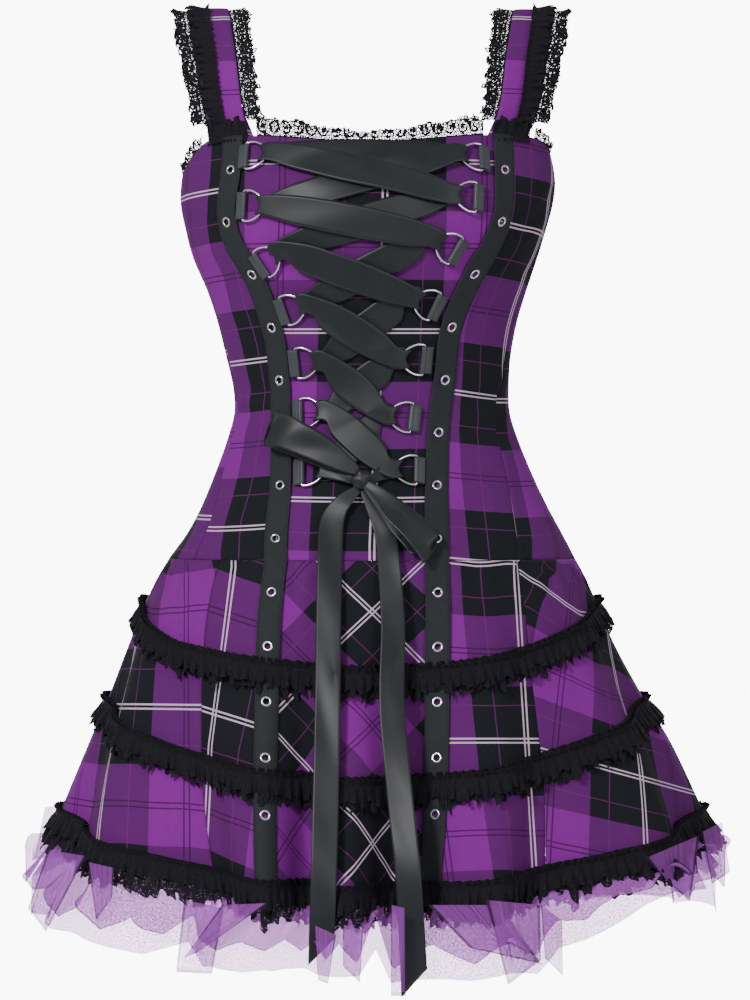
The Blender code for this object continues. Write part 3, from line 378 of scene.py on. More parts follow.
def plaid_material():
    """Twill plaid: the UV map holds the warp and the weft place, in repeats of the check."""
    s = Shader("plaid twill")
    u, v = s.uv("cloth")
    threads = []
    for place in (u, v):
        away = s.math("ABSOLUTE", s.math("SUBTRACT", s.math("FRACT", s.math("ADD", place, 100.5)), 0.5))
        threads.append((s.math("GREATER_THAN", away, 0.30), s.math("COMPARE", away, 0.0112, 0.0048),
                        s.math("COMPARE", away, 0.195, 0.0030), s.math("COMPARE", away, 0.486, 0.0038)))
    twill = s.math("FRACT", s.math("MULTIPLY", s.math("ADD", u, v), 74.0))
    rib = s.math("ABSOLUTE", s.math("SUBTRACT", twill, 0.5))
    lean = s.math("MULTIPLY", s.math("SUBTRACT", rib, 0.25), 0.5)
    warp = s.math("MULTIPLY", threads[0][0], s.math("ADD", 0.5, lean))
    weft = s.math("MULTIPLY", threads[1][0], s.math("SUBTRACT", 0.5, lean))
    colour = s.mix(s.math("ADD", warp, weft), SLATE, PURPLE)
    for index, tint, strength in ((3, DARK, 0.75), (2, MAGENTA, 0.6), (1, WHITE, 0.88)):
        line = s.math("MAXIMUM", threads[0][index], threads[1][index])
        colour = s.mix(s.math("MULTIPLY", line, strength), colour, tint)
    mottle = s.noise(s.vector(u, v), 24.0, 4.0)
    colour = s.mix(s.math("MULTIPLY", mottle, 0.16), colour, (0.004, 0.003, 0.005, 1))
    s.set(Base_Color=colour, Roughness=0.9)
    s.main.inputs["Sheen Weight"].default_value = 0.03
    s.main.inputs["Specular IOR Level"].default_value = 0.1
    s.bump(s.math("ADD", rib, s.math("MULTIPLY", mottle, 2.0)), 0.25, 0.0004)
    return s.material


def twill_material(name, colour, rough):
    """Plain tape: fine diagonal ribs and a line of stitches inside each edge."""
    s = Shader(name)
    u, v = s.uv("cloth")
    rib = s.math("ABSOLUTE", s.math("SUBTRACT", s.math("FRACT", s.math(
        "MULTIPLY", s.math("ADD", u, v), RIB_PITCH)), 0.5))
    edge = s.math("ABSOLUTE", u)
    dash = s.math("GREATER_THAN", s.math("FRACT", s.math("MULTIPLY", v, 0.36)), 0.3)
    stitch = s.math("MULTIPLY", s.math("COMPARE", edge, BAND_HALF - 1.9, 0.35), dash)
    cloud = s.noise(s.vector(u, v), 0.12, 3.0)
    deep, light = [tuple(c * share for c in colour[:3]) + (1,) for share in (0.75, 1.3)]
    base = s.mix(cloud, deep, light)
    s.set(Base_Color=s.mix(stitch, base, (0.006, 0.007, 0.008, 1)), Roughness=rough)
    s.bump(s.math("SUBTRACT", rib, s.math("MULTIPLY", stitch, 1.5)), 0.3, 0.0004)
    return s.material


def satin_material(name, colour, light):
    s = Shader(name)
    u, v = s.uv("cloth")
    fine = s.noise(s.vector(s.math("MULTIPLY", u, 3.0), s.math("MULTIPLY", v, 0.25)), 1.0, 3.0)
    # Painted sheen: the slow cloud mixes the satin's own colour with the lighter copy, light, in stretches
    # along the ribbon.
    cloud = s.noise(s.vector(s.math("MULTIPLY", u, 0.5), v), 0.035, 2.0)
    s.set(Base_Color=s.mix(cloud, colour, light), Roughness=0.44)
    s.main.inputs["Sheen Weight"].default_value = 0.06
    s.main.inputs["Anisotropic"].default_value = 0.5
    s.main.inputs["Specular IOR Level"].default_value = 0.42
    s.bump(fine, 0.12, 0.0003)
    return s.material


def lace_material(name, cell, thread, pitch, low, high, scallop, height, weight):
    """Lace: a net of threads, an oval figure every pitch and a scalloped corded edge."""
    s = Shader(name)
    u, v = s.uv("cloth")
    net = s.node("ShaderNodeTexVoronoi", feature="DISTANCE_TO_EDGE", voronoi_dimensions="2D")
    s.plug(s.vector(u, v), net.inputs["Vector"])
    net.inputs["Scale"].default_value = 1 / cell
    net.inputs["Randomness"].default_value = 0.85
    cover = s.math("LESS_THAN", net.outputs["Distance"], thread)
    beat = s.math("SUBTRACT", s.math("FRACT", s.math("DIVIDE", u, pitch)), 0.5)
    x = s.math("DIVIDE", s.math("MULTIPLY", beat, pitch), pitch * 0.42)
    y = s.math("DIVIDE", s.math("SUBTRACT", v, (low + high) / 2), (high - low) / 2)
    oval = s.math("SQRT", s.math("ADD", s.math("MULTIPLY", x, x), s.math("MULTIPLY", y, y)))
    petals = s.noise(s.vector(u, v), 0.42, 1.0)
    ring = s.math("COMPARE", s.math("ADD", oval, s.math("MULTIPLY", petals, 0.5)), 1.08, 0.17)
    heart = s.math("LESS_THAN", s.math("ADD", oval, petals), 0.86)
    wave = s.math("MULTIPLY", s.math("COSINE", s.math("MULTIPLY", beat, 2 * math.pi)), scallop)
    rim = s.math("SUBTRACT", s.math("SUBTRACT", height - scallop, s.math("MULTIPLY", wave, -1.0)), v)
    cord = s.math("COMPARE", rim, 0.8, 0.8)
    foot = s.math("LESS_THAN", v, 1.6)
    for extra in (ring, heart, cord, foot):
        cover = s.math("MAXIMUM", cover, extra)
    cover = s.math("MAXIMUM", s.math("MULTIPLY", cover, s.math("GREATER_THAN", rim, 0.0)), weight)
    cover = s.math("MULTIPLY", cover, s.math("GREATER_THAN", rim, 0.0))
    shade = s.noise(s.vector(u, v), 0.9, 3.0)
    s.set(Base_Color=s.mix(shade, (0.002, 0.002, 0.003, 1), (0.022, 0.021, 0.028, 1)), Roughness=0.8)
    s.main.inputs["Sheen Weight"].default_value = 0.03
    s.main.inputs["Specular IOR Level"].default_value = 0.15
    s.bump(shade, 0.5, 0.0008)
    s.see_through(cover)
    return s.material


def net_material(name, colour, cover, rim):
    """Tulle: a fine net, nearly clear, with a dark bound lower edge."""
    s = Shader(name)
    u, v = s.uv("cloth")
    speck = s.noise(s.vector(u, v), 0.7, 3.0)
    edge = s.math("MULTIPLY", s.math("LESS_THAN", v, 1.5), rim)
    fill = s.math("ADD", cover * 0.55, s.math("MULTIPLY", s.math("MULTIPLY", speck, speck), cover * 1.6))
    s.set(Base_Color=s.mix(edge, colour, (0.03, 0.008, 0.04, 1)), Roughness=0.8)
    s.see_through(s.math("MAXIMUM", fill, s.math("MULTIPLY", edge, 0.75)), TULLE_TINT)
    return s.material


def metal_material():
    s = Shader("polished nickel")
    s.set(Base_Color=(0.86, 0.86, 0.88, 1), Metallic=1.0)
    spot = s.node("ShaderNodeTexCoord").outputs["Object"]
    wear = s.noise(spot, 300.0, 2.0)
    s.set(Roughness=s.math("ADD", 0.12, s.math("MULTIPLY", wear, 0.12)))
    return s.material


plaid = plaid_material()
band_cloth = twill_material("black twill tape", (0.015, 0.0185, 0.022, 1), 0.85)
# The second colour of each satin is a lighter copy used as painted sheen.
satin = satin_material("slate satin ribbon", (0.0075, 0.010, 0.012, 1), (0.018, 0.022, 0.026, 1))
tab_satin = satin_material("grey satin tape", (0.034, 0.040, 0.046, 1), (0.070, 0.078, 0.088, 1))
metal = metal_material()
neck_net = lace_material("neckline lace", 2.7, 0.21, 19.0, 3.0, 17.0, 2.0, 20.0, 0.42)
strap_net = lace_material("strap edge lace", 2.9, 0.20, 21.0, 4.0, 17.0, 2.0, 20.0, 0.40)
row_net = lace_material("gathered skirt lace", 2.4, 0.27, 13.0, 12.0, 31.0, 3.2, 37.0, 0.72)
hem_net = lace_material("hem lace", 2.8, 0.27, 20.0, 18.0, 38.0, 3.0, 44.0, 0.66)
lilac = net_material("lilac tulle", (0.50, 0.12, 0.62, 1), 0.78, 1.0)
folded_lilac = net_material("folded lilac tulle", (0.32, 0.06, 0.42, 1), 0.66, 1.0)
pale_lilac = net_material("pale lilac tulle", (0.74, 0.30, 0.86, 1), 0.72, 0.55)


# Meshes
def rest(thing, slot_name, *nodes):
    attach(thing, "root")
    if nodes:
        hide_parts(*nodes)
    return thing


def mesh_piece(name, points, faces, uvs, material, thick=0.0):
    """An object from points in millimetres, with one UV pair for each point."""
    name = name + "_cloth" if material != metal else name + "_wire"
    mesh = bpy.data.meshes.new(name)
    mesh.from_pydata([tuple(p * MM) for p in points], [], faces)
    layer = mesh.uv_layers.new(name="cloth")
    for loop in mesh.loops:
        layer.data[loop.index].uv = uvs[loop.vertex_index]
    mesh.materials.append(material)
    mesh.shade_smooth()
    thing = bpy.data.objects.new(name, mesh)
    bpy.context.scene.collection.objects.link(thing)
    if thick:
        wall = thing.modifiers.new("wall", "SOLIDIFY")
        wall.thickness = thick * MM
        wall.offset = -1.0
    return thing


def grid_faces(rows, columns, closed=False, first=0):
    faces = []
    for i in range(rows - 1):
        for j in range(columns if closed else columns - 1):
            n = (j + 1) % columns
            faces.append((first + i * columns + j, first + i * columns + n,
                          first + (i + 1) * columns + n, first + (i + 1) * columns + j))
    return faces


def grid_piece(name, grid, uvs, material, thick=0.0, closed=False):
    rows, columns = len(grid), len(grid[0])
    return mesh_piece(name, [p for row in grid for p in row], grid_faces(rows, columns, closed),
                      [uv for row in uvs for uv in row], material, thick)


def lengths(points):
    total = [0.0]
    for a, b in zip(points, points[1:]):
        total.append(total[-1] + (b - a).length)
    return total


def tube_faces(count, sides, first=0):
    """Faces of a closed ring of count sections, each with a number of sides."""
    return [(first + k * sides + j, first + k * sides + (j + 1) % sides,
             first + (k + 1) % count * sides + (j + 1) % sides, first + (k + 1) % count * sides + j)
            for k in range(count) for j in range(sides)]


def across_three(a, b, c, t):
    """A point on the curve through three points, from the first (0) to the last (1)."""
    return a * (2 * (t - .5) * (t - 1)) + b * (4 * t * (1 - t)) + c * (2 * t * (t - .5))


def area_of(grid):
    total = 0.0
    for upper, lower in zip(grid, grid[1:]):
        for a, b, c, d in zip(upper, upper[1:], lower, lower[1:]):
            total += ((b - a).cross(c - a).length + (d - b).cross(c - b).length) / 2
    return total * MM * MM


def crossing(values, sums, target):
    """Where along sums the values pass a target, carried on straight beyond the ends."""
    for k in range(len(values) - 1):
        low, high = values[k], values[k + 1]
        if (low - target) * (high - target) <= 0 and high != low:
            return sums[k] + (sums[k + 1] - sums[k]) * (target - low) / (high - low)
    near = 0 if abs(values[0] - target) < abs(values[-1] - target) else len(values) - 2
    slope = (values[near + 1] - values[near]) / max(sums[near + 1] - sums[near], 0.01)
    if abs(slope) < 0.35:
        slope = 0.35 if slope >= 0 else -0.35
    end = 0 if near == 0 else len(values) - 1
    return sums[end] + (target - values[end]) / slope


# Plaid on each panel. warp: the picture x of a warp line at picture heights, its place in
# the check and the repeat in millimetres; weft: a picture y, its slope, place and repeat.
PLAID = {
    "bodice_front_center": (("px", [(224, 385), (545, 372)], 0.0, 192), (331, 375, 0.0, 0.0, 156)),
    "bodice_side_front_L": (
        ("last", [(191, 33), (220, 33), (311, 13), (397, 19), (470, 8), (520, -2)], 0.0, 192),
        (362, 245, -0.13, 0.0, 156)),
    "bodice_side_front_R": (("first", [(292, 71), (344, 74), (476, 82), (561, 90)], 0.0, 192),
                            (395, 475, 0.14, 0.0, 155)),
    "bodice_side_L": (("last", [(300, -30)], 0.30, 192), (352, 200, 0.0, 0.0, 157)),
    "bodice_side_R": (("first", [(300, 26)], 0.34, 192), (401, 530, 0.0, 0.0, 157)),
    "bodice_back_L": (("last", [(300, 0)], 0.30, 192), (352, 375, 0.0, 0.0, 157)),
    "bodice_back_R": (("first", [(300, 0)], 0.30, 192), (352, 375, 0.0, 0.0, 157)),
    "skirt_side_L": (("px", [(560, 187), (900, 187)], 0.5, 192), (707, 160, 0.01, 0.0, 190)),
    "skirt_front_L": (("px", [(568, 234), (750, 211), (900, 204)], 0.0, 192), (720, 238, 0.32, 0.0, 190)),
    "skirt_front_R": (("px", [(566, 515), (880, 534)], 0.0, 192), (741, 486, 0.0, 0.0, 170)),
    "skirt_side_R": (("px", [(580, 572), (655, 563), (742, 552), (850, 545)], -0.5, 192),
                     (777, 636, 0.28, 0.0, 170)),
    "skirt_back_L": (("last", [(700, 0)], 0.35, 192), (730, 375, 0.0, 0.0, 180)),
    "skirt_back_R": (("first", [(700, 0)], 0.35, 192), (730, 375, 0.0, 0.0, 180)),
    "skirt_front_center": (("px", [(560, 372), (900, 372)], 0.0, 150), (612, 372, 0.0, 0.0, 150)),
}


def plaid_uv(name, grid):
    """Warp and weft places of every point of a panel, in repeats."""
    (kind, line, warp_place, warp_repeat), (level, centre, slope, weft_place, weft_repeat) = PLAID[name]
    spots = [[pixel(p) for p in row] for row in grid]
    middle = len(grid[0]) // 2
    across = []
    for row, spot in zip(grid, spots):
        sums = lengths(row)
        at = straight(line, spot[middle][1])
        if kind == "px":
            zero = crossing([x for x, _ in spot], sums, at)
        else:
            zero = (sums[-1] if kind == "last" else 0.0) + at
        across.append([(s - zero) for s in sums])
    down = [[0.0] * len(grid[0]) for _ in grid]
    for j in range(len(grid[0])):
        column = [row[j] for row in grid]
        sums = lengths(column) if name.startswith("skirt") else [column[0].z - p.z for p in column]
        zero = crossing([spot[j][1] - slope * (spot[j][0] - centre) for spot in spots], sums, level)
        for i, s in enumerate(sums):
            down[i][j] = s - zero
    if name == "skirt_front_center":
        turn = math.sqrt(0.5)
        return [[((a + b) * turn / warp_repeat, (a - b) * turn / weft_repeat) for a, b in zip(x, y)]
                for x, y in zip(across, down)]
    return [[(a / warp_repeat + warp_place, b / weft_repeat + weft_place) for a, b in zip(x, y)]
            for x, y in zip(across, down)]


def build_bodice():
    plan = [
        ("bodice_back_L", "rear_L", "back_L", 40), ("bodice_side_L", "back_L", "side_L", 22),
        ("bodice_side_front_L", "side_L", "band_L", 36), ("bodice_front_center", "band_L", "band_R", 84),
        ("bodice_side_front_R", "band_R", "side_R", 36), ("bodice_side_R", "side_R", "back_R", 22),
        ("bodice_back_R", "back_R", "rear_R", 40),
    ]
    rows = 120
    for name, first, second, columns in plan:
        lines = []
        for j in range(columns + 1):
            share = 0.002 + 0.996 * j / columns
            angle, height = 0.0, -130.0
            for _ in range(4):
                low, high = seam_angle(first, height), seam_angle(second, height)
                angle = low + (high - low) * share
                height = smooth(TOP_EDGE, angle, 1)
            line = []
            for i in range(rows + 1):
                z = height + (WAIST + 0.4 - height) * i / rows
                low, high = seam_angle(first, z), seam_angle(second, z)
                angle = low + (high - low) * share
                edge = min(j, columns - j)
                dip = -0.7 * math.exp(-(edge / 1.1) ** 2)
                line.append(bodice(angle, z, dip))
            lines.append(line)
        grid = [[line[i] for line in lines] for i in range(rows + 1)]
        panel = grid_piece(name, grid, plaid_uv(name, grid), plaid, 0.9)
        rest(panel, "plaid", name)


def seam_place(seam, share):
    """Where a seam of the skirt runs along the flutes; the left side seam swings forward at the waist."""
    return seam + 0.42 * (1 - share) if seam == 9 else seam


def build_skirt():
    seams = [0, 5, 9, LEFT_BAND, RIGHT_BAND, 15, 19, 24]
    names = ["skirt_back_L", "skirt_side_L", "skirt_front_L", "skirt_front_center",
             "skirt_front_R", "skirt_side_R", "skirt_back_R"]
    rows = 90
    for name, first, second in zip(names, seams, seams[1:]):
        columns = max(24, round((second - first) * 24))
        grid = []
        for i in range(rows + 1):
            share = i / rows
            line = []
            low, high = seam_place(first, share), seam_place(second, share)
            for j in range(columns + 1):
                place = low + (high - low) * (0.002 + 0.996 * j / columns)
                edge = min(j, columns - j)
                line.append(skirt(place, share, -0.8 * math.exp(-(edge / 1.2) ** 2)))
            grid.append(line)
        panel = grid_piece(name, grid, plaid_uv(name, grid), plaid, 0.9)
        rest(panel, "plaid", name)


def strip_angle(side, z, across):
    """A point beside a band's seam on the bodice, a distance across it."""
    angle = seam_angle("band_" + side, z)
    per_degree = (body_point(angle + 1, z) - body_point(angle - 1, z)).length / 2
    return angle + across / per_degree


def band_point(side, z, across, off):
    """A point on a band: the height z, a distance across its seam and off the cloth."""
    if z >= WAIST:
        slope = smooth(SEAMS, z + 4, 1 if side == "L" else 2) - smooth(SEAMS, z - 4, 1 if side == "L" else 2)
        lean = math.sqrt(1 + (slope / 8) ** 2)
        return bodice(strip_angle(side, z, across * lean), z, off)
    place = LEFT_BAND if side == "L" else RIGHT_BAND
    hem = hem_height(flute(place)[1])
    share = (WAIST - z) / (WAIST - hem)
    near, far = skirt(place - 0.05, share), skirt(place + 0.05, share)
    step = across * 0.1 / (far - near).length
    low, high = skirt(place + step, share, off), skirt(place, share, off)
    return high + (low - high) * (abs(across) / max((low - high).length, 0.01) if across else 0.0)


def band_off(side, z, across):
    inner = across if side == "L" else -across
    if z < WAIST + 6:
        return 3.4
    if z < -462:
        return 2.2 + 1.2 * (-462 - z) / (-462 - WAIST)
    return 2.2 + 1.3 * min(max(inner / BAND_HALF, -0.4), 1.0)


def build_band(side):
    """A band with a round hole at each eyelet, and the rings of its eyelets."""
    name = "band_" + side
    spread = [-11, -10.3, -7.3, -3.7, 0, 3.7, 7.3, 10.3, 11]
    bottom = hem_height(flute(LEFT_BAND if side == "L" else RIGHT_BAND)[1]) + 6
    top = smooth(TOP_EDGE, seam_angle("band_" + side, -130), 1) + 0.6
    eyelets = [EYELET_TOP - EYELET_PITCH * k for k in range(EYELET_COUNT)]
    eyelets = [z for z in eyelets if z > bottom + 8]
    marks = [top]
    for z in eyelets:
        start, end = marks[-1], z + 7
        steps = max(1, round((start - end) / 4))
        marks += [start + (end - start) * (k + 1) / steps for k in range(steps)]
        marks.append(z - 7)
    steps = max(1, round((marks[-1] - bottom) / 4))
    start = marks[-1]
    marks += [start + (bottom - start) * (k + 1) / steps for k in range(steps)]
    grid = []
    for z in marks:
        row = []
        for across in spread:
            off = band_off(side, z, across) - (0.5 if abs(across) == 11 else 0)
            row.append(band_point(side, z, across, off))
        grid.append(row)
    columns = len(spread)
    points = [p for row in grid for p in row]
    uvs = [(across, z) for z in marks for across in spread]
    faces, rings, ring_faces, ring_uvs = [], [], [], []
    for i, z in enumerate(marks[:-1]):
        if not any(abs(z - 7 - eye) < 0.01 for eye in eyelets):
            faces += grid_faces(2, columns, False, i * columns)
            continue
        eye = z - 7
        for j in (0, columns - 2):
            low = i * columns + j
            faces.append((low, low + 1, low + columns + 1, low + columns))
        loop = ([i * columns + j for j in range(1, columns - 1)]
                + [(i + 1) * columns + j for j in range(columns - 2, 0, -1)])
        centre = band_point(side, eye, 0, band_off(side, eye, 0))
        right = (grid[i][-2] + grid[i + 1][-2] - grid[i][1] - grid[i + 1][1]).normalized()
        up = (grid[i][4] - grid[i + 1][4]).normalized()
        out = up.cross(right).normalized()
        out = out if out.y < 0 else -out
        first = len(points)
        for index in loop:
            away = points[index] - centre
            flat = Vector((away.dot(right), away.dot(up))).normalized()
            points.append(centre + right * flat.x * 3.2 + up * flat.y * 3.2)
            uvs.append((flat.x * 3.2, eye + flat.y * 3.2))
        count = len(loop)
        faces += [(loop[k], loop[(k + 1) % count], first + (k + 1) % count, first + k) for k in range(count)]
        for k in range(24):
            turn = 2 * math.pi * k / 24
            radial = right * math.cos(turn) + up * math.sin(turn)
            for j in range(8):
                tube = 2 * math.pi * j / 8
                wide, high = 3.85 + 1.15 * math.cos(tube), 0.45 + 0.75 * math.sin(tube)
                rings.append(centre + radial * wide + out * high)
                ring_uvs.append((turn, tube))
        ring_faces += tube_faces(24, 8, len(rings) - 24 * 8)
    band = mesh_piece(name, points, faces, uvs, band_cloth, 0.9)
    rest(band, "band", name)
    rings_made = mesh_piece("eyelets_" + side, rings, ring_faces, ring_uvs, metal)
    rest(rings_made, "metal")


def cloth_frame(angle, height):
    """A point on the bodice and its outward direction."""
    rise = body_point(angle, height + 2) - body_point(angle, height - 2)
    turn = body_point(angle + 1, height) - body_point(angle - 1, height)
    return body_point(angle, height), turn.cross(rise).normalized()


def ring_frame(side, number):
    x, height = RINGS[side][number]
    spot, out = cloth_frame(angle_at(x, height), height)
    name = "band_" + side
    lean = (body_point(seam_angle(name, height + 12), height + 12)
            - body_point(seam_angle(name, height - 12), height - 12))
    up = (lean - out * lean.dot(out)).normalized()
    inward = up.cross(out).normalized()
    if inward.x * x > 0:
        inward = -inward
    return spot, inward, up, out


def local(frame_here, u, v, off):
    origin, inward, up, out = frame_here
    return origin + inward * u + up * v + out * off


def build_ring(name, here):
    """A D-ring of round wire: a straight bar on the outer side and a bow towards the centre."""
    path = [(-RING_WIDE, RING_HIGH - 2.6 - (2 * RING_HIGH - 5.2) * (1 - k / 6)) for k in range(7)]
    path += [(-RING_WIDE + 0.8, RING_HIGH - 0.8)]
    path += [(-RING_WIDE + 2 * RING_WIDE * math.cos(t), RING_HIGH * math.sin(t))
             for t in (math.pi / 2 - math.pi * k / 20 for k in range(2, 19))]
    path += [(-RING_WIDE + 0.8, -RING_HIGH + 0.8)]
    line = catmull([(u, v, 0) for u, v in path], 2, True)
    points, uvs, count, sides = [], [], len(line), 10
    for k, spot in enumerate(line):
        along = (line[(k + 1) % count] - line[k - 1]).normalized()
        outward = Vector((-along.y, along.x, 0))
        for j in range(sides):
            turn = 2 * math.pi * j / sides
            shift = outward * math.cos(turn) * RING_WIRE
            off = RING_OFF + RING_WIRE * math.sin(turn)
            points.append(local(here, spot.x + shift.x, spot.y + shift.y, off))
            uvs.append((k / count, j / sides))
    rest(mesh_piece(name, points, tube_faces(count, sides), uvs, metal), "metal", name)


def build_tape(side, frames):
    """Satin tabs: each comes from under the band, goes round its ring's bar and back."""
    points, faces, uvs = [], [], []
    for here in frames:
        path = [(-19.5, 1.5), (-16, 1.7), (-14, 3.0)]
        path += [(-RING_WIDE + 2.3 * math.cos(t), RING_OFF + 2.3 * math.sin(t))
                 for t in (math.radians(a) for a in (215, 260, 310, 0, 50, 100, 145))]
        path += [(-14.5, 5.6), (-18.0, 4.3)]
        line = catmull([(u, off, 0) for u, off in path], 4)
        grid = []
        for spot in line:
            grid.append([local(here, spot.x, v, spot.y) for v in [-12.5 + 25 * k / 10 for k in range(11)]])
        first = len(points)
        points += [p for row in grid for p in row]
        uvs += [(j * 2.5, i * 1.1) for i in range(len(grid)) for j in range(11)]
        faces += grid_faces(len(grid), 11, False, first)
    name = "ring_tape_" + side
    tape = mesh_piece(name, points, faces, uvs, tab_satin, 0.35)
    rest(tape, "satin", name)


def front_frame(x, height, off):
    if height > WAIST:
        spot, out = cloth_frame(angle_at(x, height), height)
        return spot + out * off, out
    share = (WAIST - height) / (WAIST - HEM_FRONT)
    depth = smooth(SKIRT, min(share, 1.0), 3)
    wide = smooth(SKIRT, min(share, 1.0), 2)
    return Vector((x, -depth * math.sqrt(1 - (x / wide) ** 2) - off, height)), Vector((0, -1, 0))


def ribbon_grid(stations, steps, columns=10, ripple=0.0, seed=0.0):
    """A fine grid through stations of three points across the ribbon, with soft ripples."""
    lines = [catmull([points[j] for points in stations], steps) for j in range(3)]
    grid = []
    sums = lengths(lines[1])
    for k in range(len(lines[0])):
        a, b, c = (line[k] for line in lines)
        before, after = lines[1][max(k - 1, 0)], lines[1][min(k + 1, len(sums) - 1)]
        out = (after - before).cross(c - a)
        out = out.normalized() if out.length > 1e-6 else Vector((0, -1, 0))
        if out.y > 0:
            out = -out
        row = []
        for j in range(columns + 1):
            t = j / columns
            spot = across_three(a, b, c, t)
            wave = math.sin(sums[k] / 19 + 2.6 * t + seed) * math.sin(sums[k] / 47 + seed * 1.7)
            row.append(spot + out * ripple * wave * (0.35 + 0.65 * math.sin(math.pi * t)))
        grid.append(row)
    return grid


def ribbon_piece(name, grid):
    sums = lengths([row[len(row) // 2] for row in grid])
    uvs = [[(23.0 * j / (len(row) - 1), s) for j in range(len(row))] for row, s in zip(grid, sums)]
    return grid_piece(name, grid, uvs, satin, 0.3)


def arm(here, layer):
    spread = (TURN_HALF, 0, -TURN_HALF)
    other = OVER if layer == UNDER else UNDER
    rows = [(0.0, layer), (-0.8, RING_OFF), (0.0, other)]
    return [[local(here, u + shift, v, off) for u, v in zip(TURN_U, spread)] for shift, off in rows], other


def edge_station(here, layer):
    half = RIBBON_HALF - 1.5
    return [local(here, LEAVE_U, v, layer) for v in (half, 0, -half)]


def strip_between(a, b, heights):
    start, end = local(a, LEAVE_U, 0, 0), local(b, LEAVE_U, 0, 0)
    count = max(2, round((end - start).length / 22.0))
    stations = []
    for k in range(1, count):
        share = k / count
        low = heights[1] + (UNDER_LIFT if heights[1] == UNDER else 0)
        off = max(low, heights[0] + (heights[1] - heights[0]) * 2.5 * share)
        spot = start.lerp(end, share)
        centre, out = front_frame(spot.x, spot.z, off)
        across = (end - start).normalized().cross(out).normalized()
        if across.z < 0:
            across = -across
        half = RIBBON_HALF + 3.5 * math.sin(math.pi * share)
        stations.append([centre + across * half, centre, centre - across * half])
    return stations


def build_lacing(frames):
    """One ribbon from the knot up through the rings, across the top and down again."""
    runs = []
    plans = [([("L", 0), ("R", 1), ("L", 2), ("R", 3), ("L", 4), ("R", 5), ("L", 6)], None),
             ([("R", 0), ("L", 1), ("R", 2), ("L", 3), ("R", 4), ("L", 5), ("R", 6)], (OVER, UNDER))]
    for rings, first_heights in plans:
        stations = []
        layer = UNDER
        for number, key in enumerate(rings):
            here = frames[key[0]][key[1]]
            turn, layer_out = arm(here, layer)
            stations += [edge_station(here, layer)] + turn + [edge_station(here, layer_out)]
            layer = layer_out
            if number == len(rings) - 1:
                break
            target = frames[rings[number + 1][0]][rings[number + 1][1]]
            if number == 0 and first_heights:
                stations += strip_between(here, target, first_heights)
                layer = UNDER
            else:
                stations += strip_between(here, target, (layer, layer))
        runs.append(stations)
    bar = strip_between(frames["L"][0], frames["R"][0], (UNDER, UNDER))
    knot, _ = front_frame(*KNOT)
    half = Vector((0, 0, 4))
    for stations, side in zip(runs, (-1, 1)):
        spot = knot + Vector((side * 7.6, 0, 0))
        stations.append([spot + half, spot, spot - half])
    grid = ribbon_grid(runs[0][::-1] + bar + runs[1], 5, 10, 0.55, 0.4)
    lacing = ribbon_piece("ribbon_lacing", grid)
    rest(lacing, "satin", "ribbon_lacing")


def build_knot():
    """The knot: a small ball of ribbon with the ridges of its turns."""
    spot, _ = front_frame(*KNOT)
    points, uvs = [], []
    rings_count, sides = 24, 32
    for i in range(rings_count + 1):
        polar = math.pi * i / rings_count
        for j in range(sides):
            turn = 2 * math.pi * j / sides
            x, y, z = math.sin(polar) * math.cos(turn), math.sin(polar) * math.sin(turn), math.cos(polar)
            tuck = 1.18 - 0.16 * abs(math.sin(3.2 * x + 1.1 * z)) - 0.05 * math.sin(7 * z + 3 * x)
            points.append(spot + Vector((x * KNOT_HALF[0], y * KNOT_HALF[1], z * KNOT_HALF[2])) * tuck)
            uvs.append((turn * 8, polar * 8))
    knot = mesh_piece("ribbon_knot", points, grid_faces(rings_count + 1, sides, True), uvs, satin)
    rest(knot, "satin", "ribbon_knot")


BOW = {
    # x, height, off the dress, half width, twist in degrees
    "bow_loop_L": [(-13.2, -445.5, 13.6, 4, 0), (-26, -437, 11.5, 8.5, 6), (-42, -428, 10.5, 12.5, 10),
                   (-62, -416, 10.5, 15.5, 4), (-78, -408, 12, 16.5, 0), (-86, -404, 15, 15.5, -6),
                   (-83, -406, 18.5, 15.5, -4), (-68, -412, 21.5, 15.5, 4), (-46, -424, 21, 14, 8),
                   (-26, -437, 19, 9.5, 4), (-11.4, -446.5, 16.4, 4, 0)],
    "bow_loop_R": [(-3.4, -459.4, 11, 4, 0), (8, -471, 10.5, 8, -5), (22, -487, 10, 12, -8),
                   (38, -504, 10.5, 14.5, 0), (48, -515, 12.5, 15, 4), (51, -519, 15.5, 14.5, 4),
                   (48, -515, 18.5, 14.5, 0), (36, -501, 20.5, 14, -4), (20, -484, 19, 12, -4),
                   (6, -468, 17, 7, 0), (-4.4, -458.2, 15, 4, 0)],
}
TAILS = {
    "ribbon_tail_L": [(-11.5, -461.1, 9.5, 4, 0), (-24, -472, 9, 8, 0), (-34, -489, 7.5, 11, 4),
                      (-37, -523, 8, 11.5, 6), (-38, -580, 12.5, 11.5, -4), (-38.5, -650, 17, 11.5, -6),
                      (-39.5, -730, 20, 11.5, 4), (-41, -800, 23, 11.5, 8), (-43, -861, 24, 11.5, 3)],
    "ribbon_tail_R": [(-6.4, -460.9, 7.5, 4, 0), (3, -478, 6, 7, 0), (12, -498, 5.5, 9.5, -4),
                      (16, -523, 7, 10.5, -10), (20, -580, 12, 11, 8), (19, -650, 17, 11.5, 12),
                      (26, -730, 20, 11.5, -8), (33, -800, 23, 11.5, -14), (38, -888, 24, 11.3, 4)],
}


